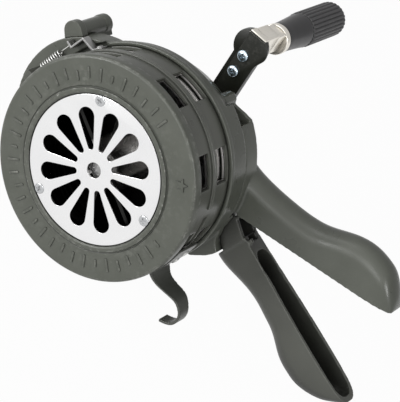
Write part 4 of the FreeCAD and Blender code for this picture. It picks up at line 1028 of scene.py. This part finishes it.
def hexNut(name):
    flats, bore, front, back = nuts[name]
    corner = flats / 2 / math.cos(math.pi / 6)
    points = [polar(corner, 60 * k) for k in range(6)]
    nut = flatPlate(name, [points, circle(bore, steps=48)], front, back, fastenerEdge["nut"])
    shade(nut)
    return nut


def washer(name, x0=0.0):
    outer, inner, front, back = washers[name]
    section = [(inner, front), (outer, front), (outer, back), (inner, back)]
    disc = lathe(name, rounded(section, fastenerEdge["washer"]), 96, x0)
    shade(disc)
    return disc


place(onArm(hexNut("crankNut")), "crank", plated, "plated_steel", "crank_nut")
place(washer("crankWasher", crank["axis"]), "crank", plated, "plated_steel", "crank_washer")
place(hexNut("rotorNut"), "rotor", gearSteel, "plated_steel", "rotor_nut")
place(washer("rotorWasher"), "rotor", plated, "plated_steel", "rotor_washer")

hinge = {"x": 71.918, "z": -5.786, "radius": 2.0, "front": 77.5, "back": 97.5, "edge": 0.4}
hingeProfile = rounded(
    [(0, hinge["front"]), (hinge["radius"], hinge["front"]),
     (hinge["radius"], hinge["back"]), (0, hinge["back"])],
    [0, hinge["edge"], hinge["edge"], 0],
)
hingePin = lathe("hingePin", hingeProfile, 48, hinge["x"], hinge["z"])
shade(hingePin)
place(hingePin, "root", plated, "plated_steel", "grip_hinge_pin")

posts = {
    "back": 85.5, "round": 64, "roundClocks": (27, 63.5, 122, 168),
    "lobe": 48.5, "lobeX": -38, "lobeClocks": (-122, -62),
    "head": 3.6, "height": 2.2, "dome": 1.1, "recess": 2.0,
    "turns": (12, 48, 75, 20, 66, 33),
}
spots = [polar(posts["round"], clock) for clock in posts["roundClocks"]]
spots += [polar(posts["lobe"], clock, posts["lobeX"]) for clock in posts["lobeClocks"]]
backHead = crossHead("backHead", posts["head"], posts["height"], posts["dome"], posts["recess"])
backHead.data.transform(Matrix.Rotation(math.pi, 4, "Z"))
places = [(x, posts["back"], z) for x, z in spots]
coverScrews = headsAt("coverScrews", backHead, places, posts["turns"])
place(coverScrews, "root", zinc, "zinc_screws", "cover_screws")

rivet = {
    "clocks": (109.5, 116.5), "y": 29.25, "radius": 3.0,
    "base": 75.0, "rim": 75.3, "top": 76.2, "steps": 40,
}
domeHeight = rivet["top"] - rivet["rim"]
rivetProfile = [(0, rivet["base"]), (rivet["radius"], rivet["base"])]
for angle in range(0, 90, 12):
    a = math.radians(angle)
    rivetProfile.append((rivet["radius"] * math.cos(a), rivet["rim"] + domeHeight * math.sin(a)))
rivetProfile.append((0, rivet["top"]))
rivets = []
for clock in rivet["clocks"]:
    # drawn along Y, then turned to stand on the drum
    head = lathe("rivet", rivetProfile, rivet["steps"])
    around = Matrix.Rotation(math.radians(clock), 4, "Y")
    upright = Matrix.Rotation(math.pi / 2, 4, "X")
    head.data.transform(around @ Matrix.Translation((0, rivet["y"], 0)) @ upright)
    rivets.append(head)
triggerRivets = joined("triggerRivets", rivets)
shade(triggerRivets, 50)
place(triggerRivets, "shutter", plated, "zinc_screws", "trigger_rivets")
print("siren: small pieces")

# nodes shown with their own shape
nodeFinish = {
    "shutter_ring": shutterMetal,
    "drum_screws": plated,
    "grip_end_screw": plated,
    "grip_spindle": groundSteel,
    "rotor": rotorMetal,
    "rotor_shaft": gearSteel,
    "layshaft": groundSteel,
    "crank_shaft": groundSteel,
    "rotor_bearing_outer": groundSteel,
    "rotor_bearing_inner": groundSteel,
    "rotor_bearing_balls": groundSteel,
    "rotor_pinion": gearSteel,
    "layshaft_gear": gearSteel,
    "layshaft_pinion": gearSteel,
    "crank_gear": gearSteel,
    "layshaft_bushes": bronze,
    "crank_bush": bronze,
}
for nodeName, finish in nodeFinish.items():
    setMaterial(cadNodes[nodeName], finish)

studio = {
    "floorZ": cadBox[0][2] - 0.0002, "floorSize": 8.0, "paper": (0.6, 0.6, 0.6, 1),
    "roughness": 0.9, "specular": 0.1, "white": (1, 1, 1, 1),
    "backdropShare": 0.97, "mirrorShare": 0.88,
    "darkSide": 0.14, "brightSide": 0.6, "sideSpread": (-0.35, 0.85),
    "darkMirror": 0.55, "brightMirror": 1.1, "mirrorSpread": (-0.7, 0.3),
    "towards": (-0.45, -0.85, -0.1),
}
half = studio["floorSize"]
floorCorners = [(-half, -half), (half, -half), (half, half), (-half, half)]
floorVerts = [(x, y, studio["floorZ"]) for x, y in floorCorners]
floor = makeMesh("studioFloor", floorVerts, [(0, 1, 2, 3)])
floorMat, tree, shader = startMaterial("studioPaper", 0.0)
shader.inputs["Base Color"].default_value = studio["paper"]
shader.inputs["Roughness"].default_value = studio["roughness"]
shader.inputs["Specular IOR Level"].default_value = studio["specular"]
glow = addNode(tree, "ShaderNodeEmission")
glow.inputs["Color"].default_value = studio["white"]
glow.inputs["Strength"].default_value = 1.0
path = addNode(tree, "ShaderNodeLightPath").outputs
mirrored = mathNode(tree, "MAXIMUM", path["Is Glossy Ray"], path["Is Transmission Ray"])
mirrorShare = mathNode(tree, "MULTIPLY", mirrored, studio["mirrorShare"])
cameraShare = mathNode(tree, "MULTIPLY", path["Is Camera Ray"], studio["backdropShare"])
share = mathNode(tree, "MAXIMUM", cameraShare, mirrorShare)
paperMix = addNode(tree, "ShaderNodeMixShader")
tree.links.new(share, paperMix.inputs[0])
tree.links.new(shader.outputs[0], paperMix.inputs[1])
tree.links.new(glow.outputs[0], paperMix.inputs[2])
tree.links.new(paperMix.outputs[0], tree.nodes["Material Output"].inputs["Surface"])
floor.data.materials.append(floorMat)

heldRoll = math.radians(-32.1)  # lamps and camera see the siren turned by this much
turn = Matrix.Rotation(heldRoll, 3, "Y")


def asHeld(x, y, z):
    return turn @ Vector((x, y, z))


world = bpy.data.worlds.new("studioWorld")
bpy.context.scene.world = world
world.use_nodes = True
tree = world.node_tree
back = tree.nodes["Background"]
back.inputs["Color"].default_value = studio["white"]
path = addNode(tree, "ShaderNodeLightPath").outputs
seen = mathNode(tree, "MAXIMUM", path["Is Camera Ray"], path["Is Transmission Ray"])
direction = addNode(tree, "ShaderNodeTexCoord").outputs["Generated"]
towards = addNode(tree, "ShaderNodeVectorMath", operation="DOT_PRODUCT")
tree.links.new(direction, towards.inputs[0])
towards.inputs[1].default_value = asHeld(*studio["towards"]).normalized()
facing = towards.outputs["Value"]
soft = rangeNode(tree, facing, *studio["sideSpread"], studio["darkSide"], studio["brightSide"])
sharp = rangeNode(tree, facing, *studio["mirrorSpread"], studio["darkMirror"],
                  studio["brightMirror"])
lit = mixValue(tree, path["Is Glossy Ray"], soft, sharp)
tree.links.new(mixValue(tree, seen, lit, 1.0), back.inputs["Strength"])

# name, place, size in metres, power in watts
lamps = [
    ("keyLamp", (-1.1, -1.5, 0.75), 1.1, 27.0),
    ("frontLamp", (0.5, -1.9, 0.5), 0.9, 8.0),
    ("topLamp", (-0.1, -0.6, 1.8), 1.0, 3.0),
    ("sideLamp", (1.9, -0.9, -0.15), 0.45, 10.0),
]
for lampName, spot, size, power in lamps:
    lamp = bpy.data.lights.new(lampName, "AREA")
    lamp.shape = "DISK"
    lamp.size = size
    lamp.energy = power
    lampObj = newObject(lampName, lamp)
    lampObj.location = asHeld(*spot)
    lampObj.rotation_mode = "QUATERNION"
    lampObj.rotation_quaternion = (-lampObj.location).to_track_quat("-Z", "Y")

view = {
    "azimuth": 30.2257, "elevation": 16.5580, "distance": 1.2, "towards": (0.533, -0.802, 0.269),
    "focal": 1868.285, "width": 400.0, "sensor": 36.0, "clip": (0.05, 50.0),
}
az, el = math.radians(view["azimuth"]), math.radians(view["elevation"])
backward = asHeld(math.sin(az) * math.cos(el), -math.cos(az) * math.cos(el), math.sin(el))
rightward = asHeld(math.cos(az), math.sin(az), 0)
upward = backward.cross(rightward)
camera = bpy.data.cameras.new("mainCamera")
camera.sensor_width = view["sensor"]
camera.lens = view["focal"] / view["width"] * view["sensor"]
camera.clip_start, camera.clip_end = view["clip"]
cameraObj = newObject("mainCamera", camera)
rotation = Matrix((rightward, upward, backward)).transposed().to_4x4()
cameraAt = asHeld(*view["towards"]) * view["distance"]
cameraObj.matrix_world = Matrix.Translation(cameraAt) @ rotation
bpy.context.scene.camera = cameraObj
bpy.context.scene.view_settings.view_transform = "Standard"
print("siren: floor, lamps and camera")

bpy.context.view_layer.update()
print("siren: done")
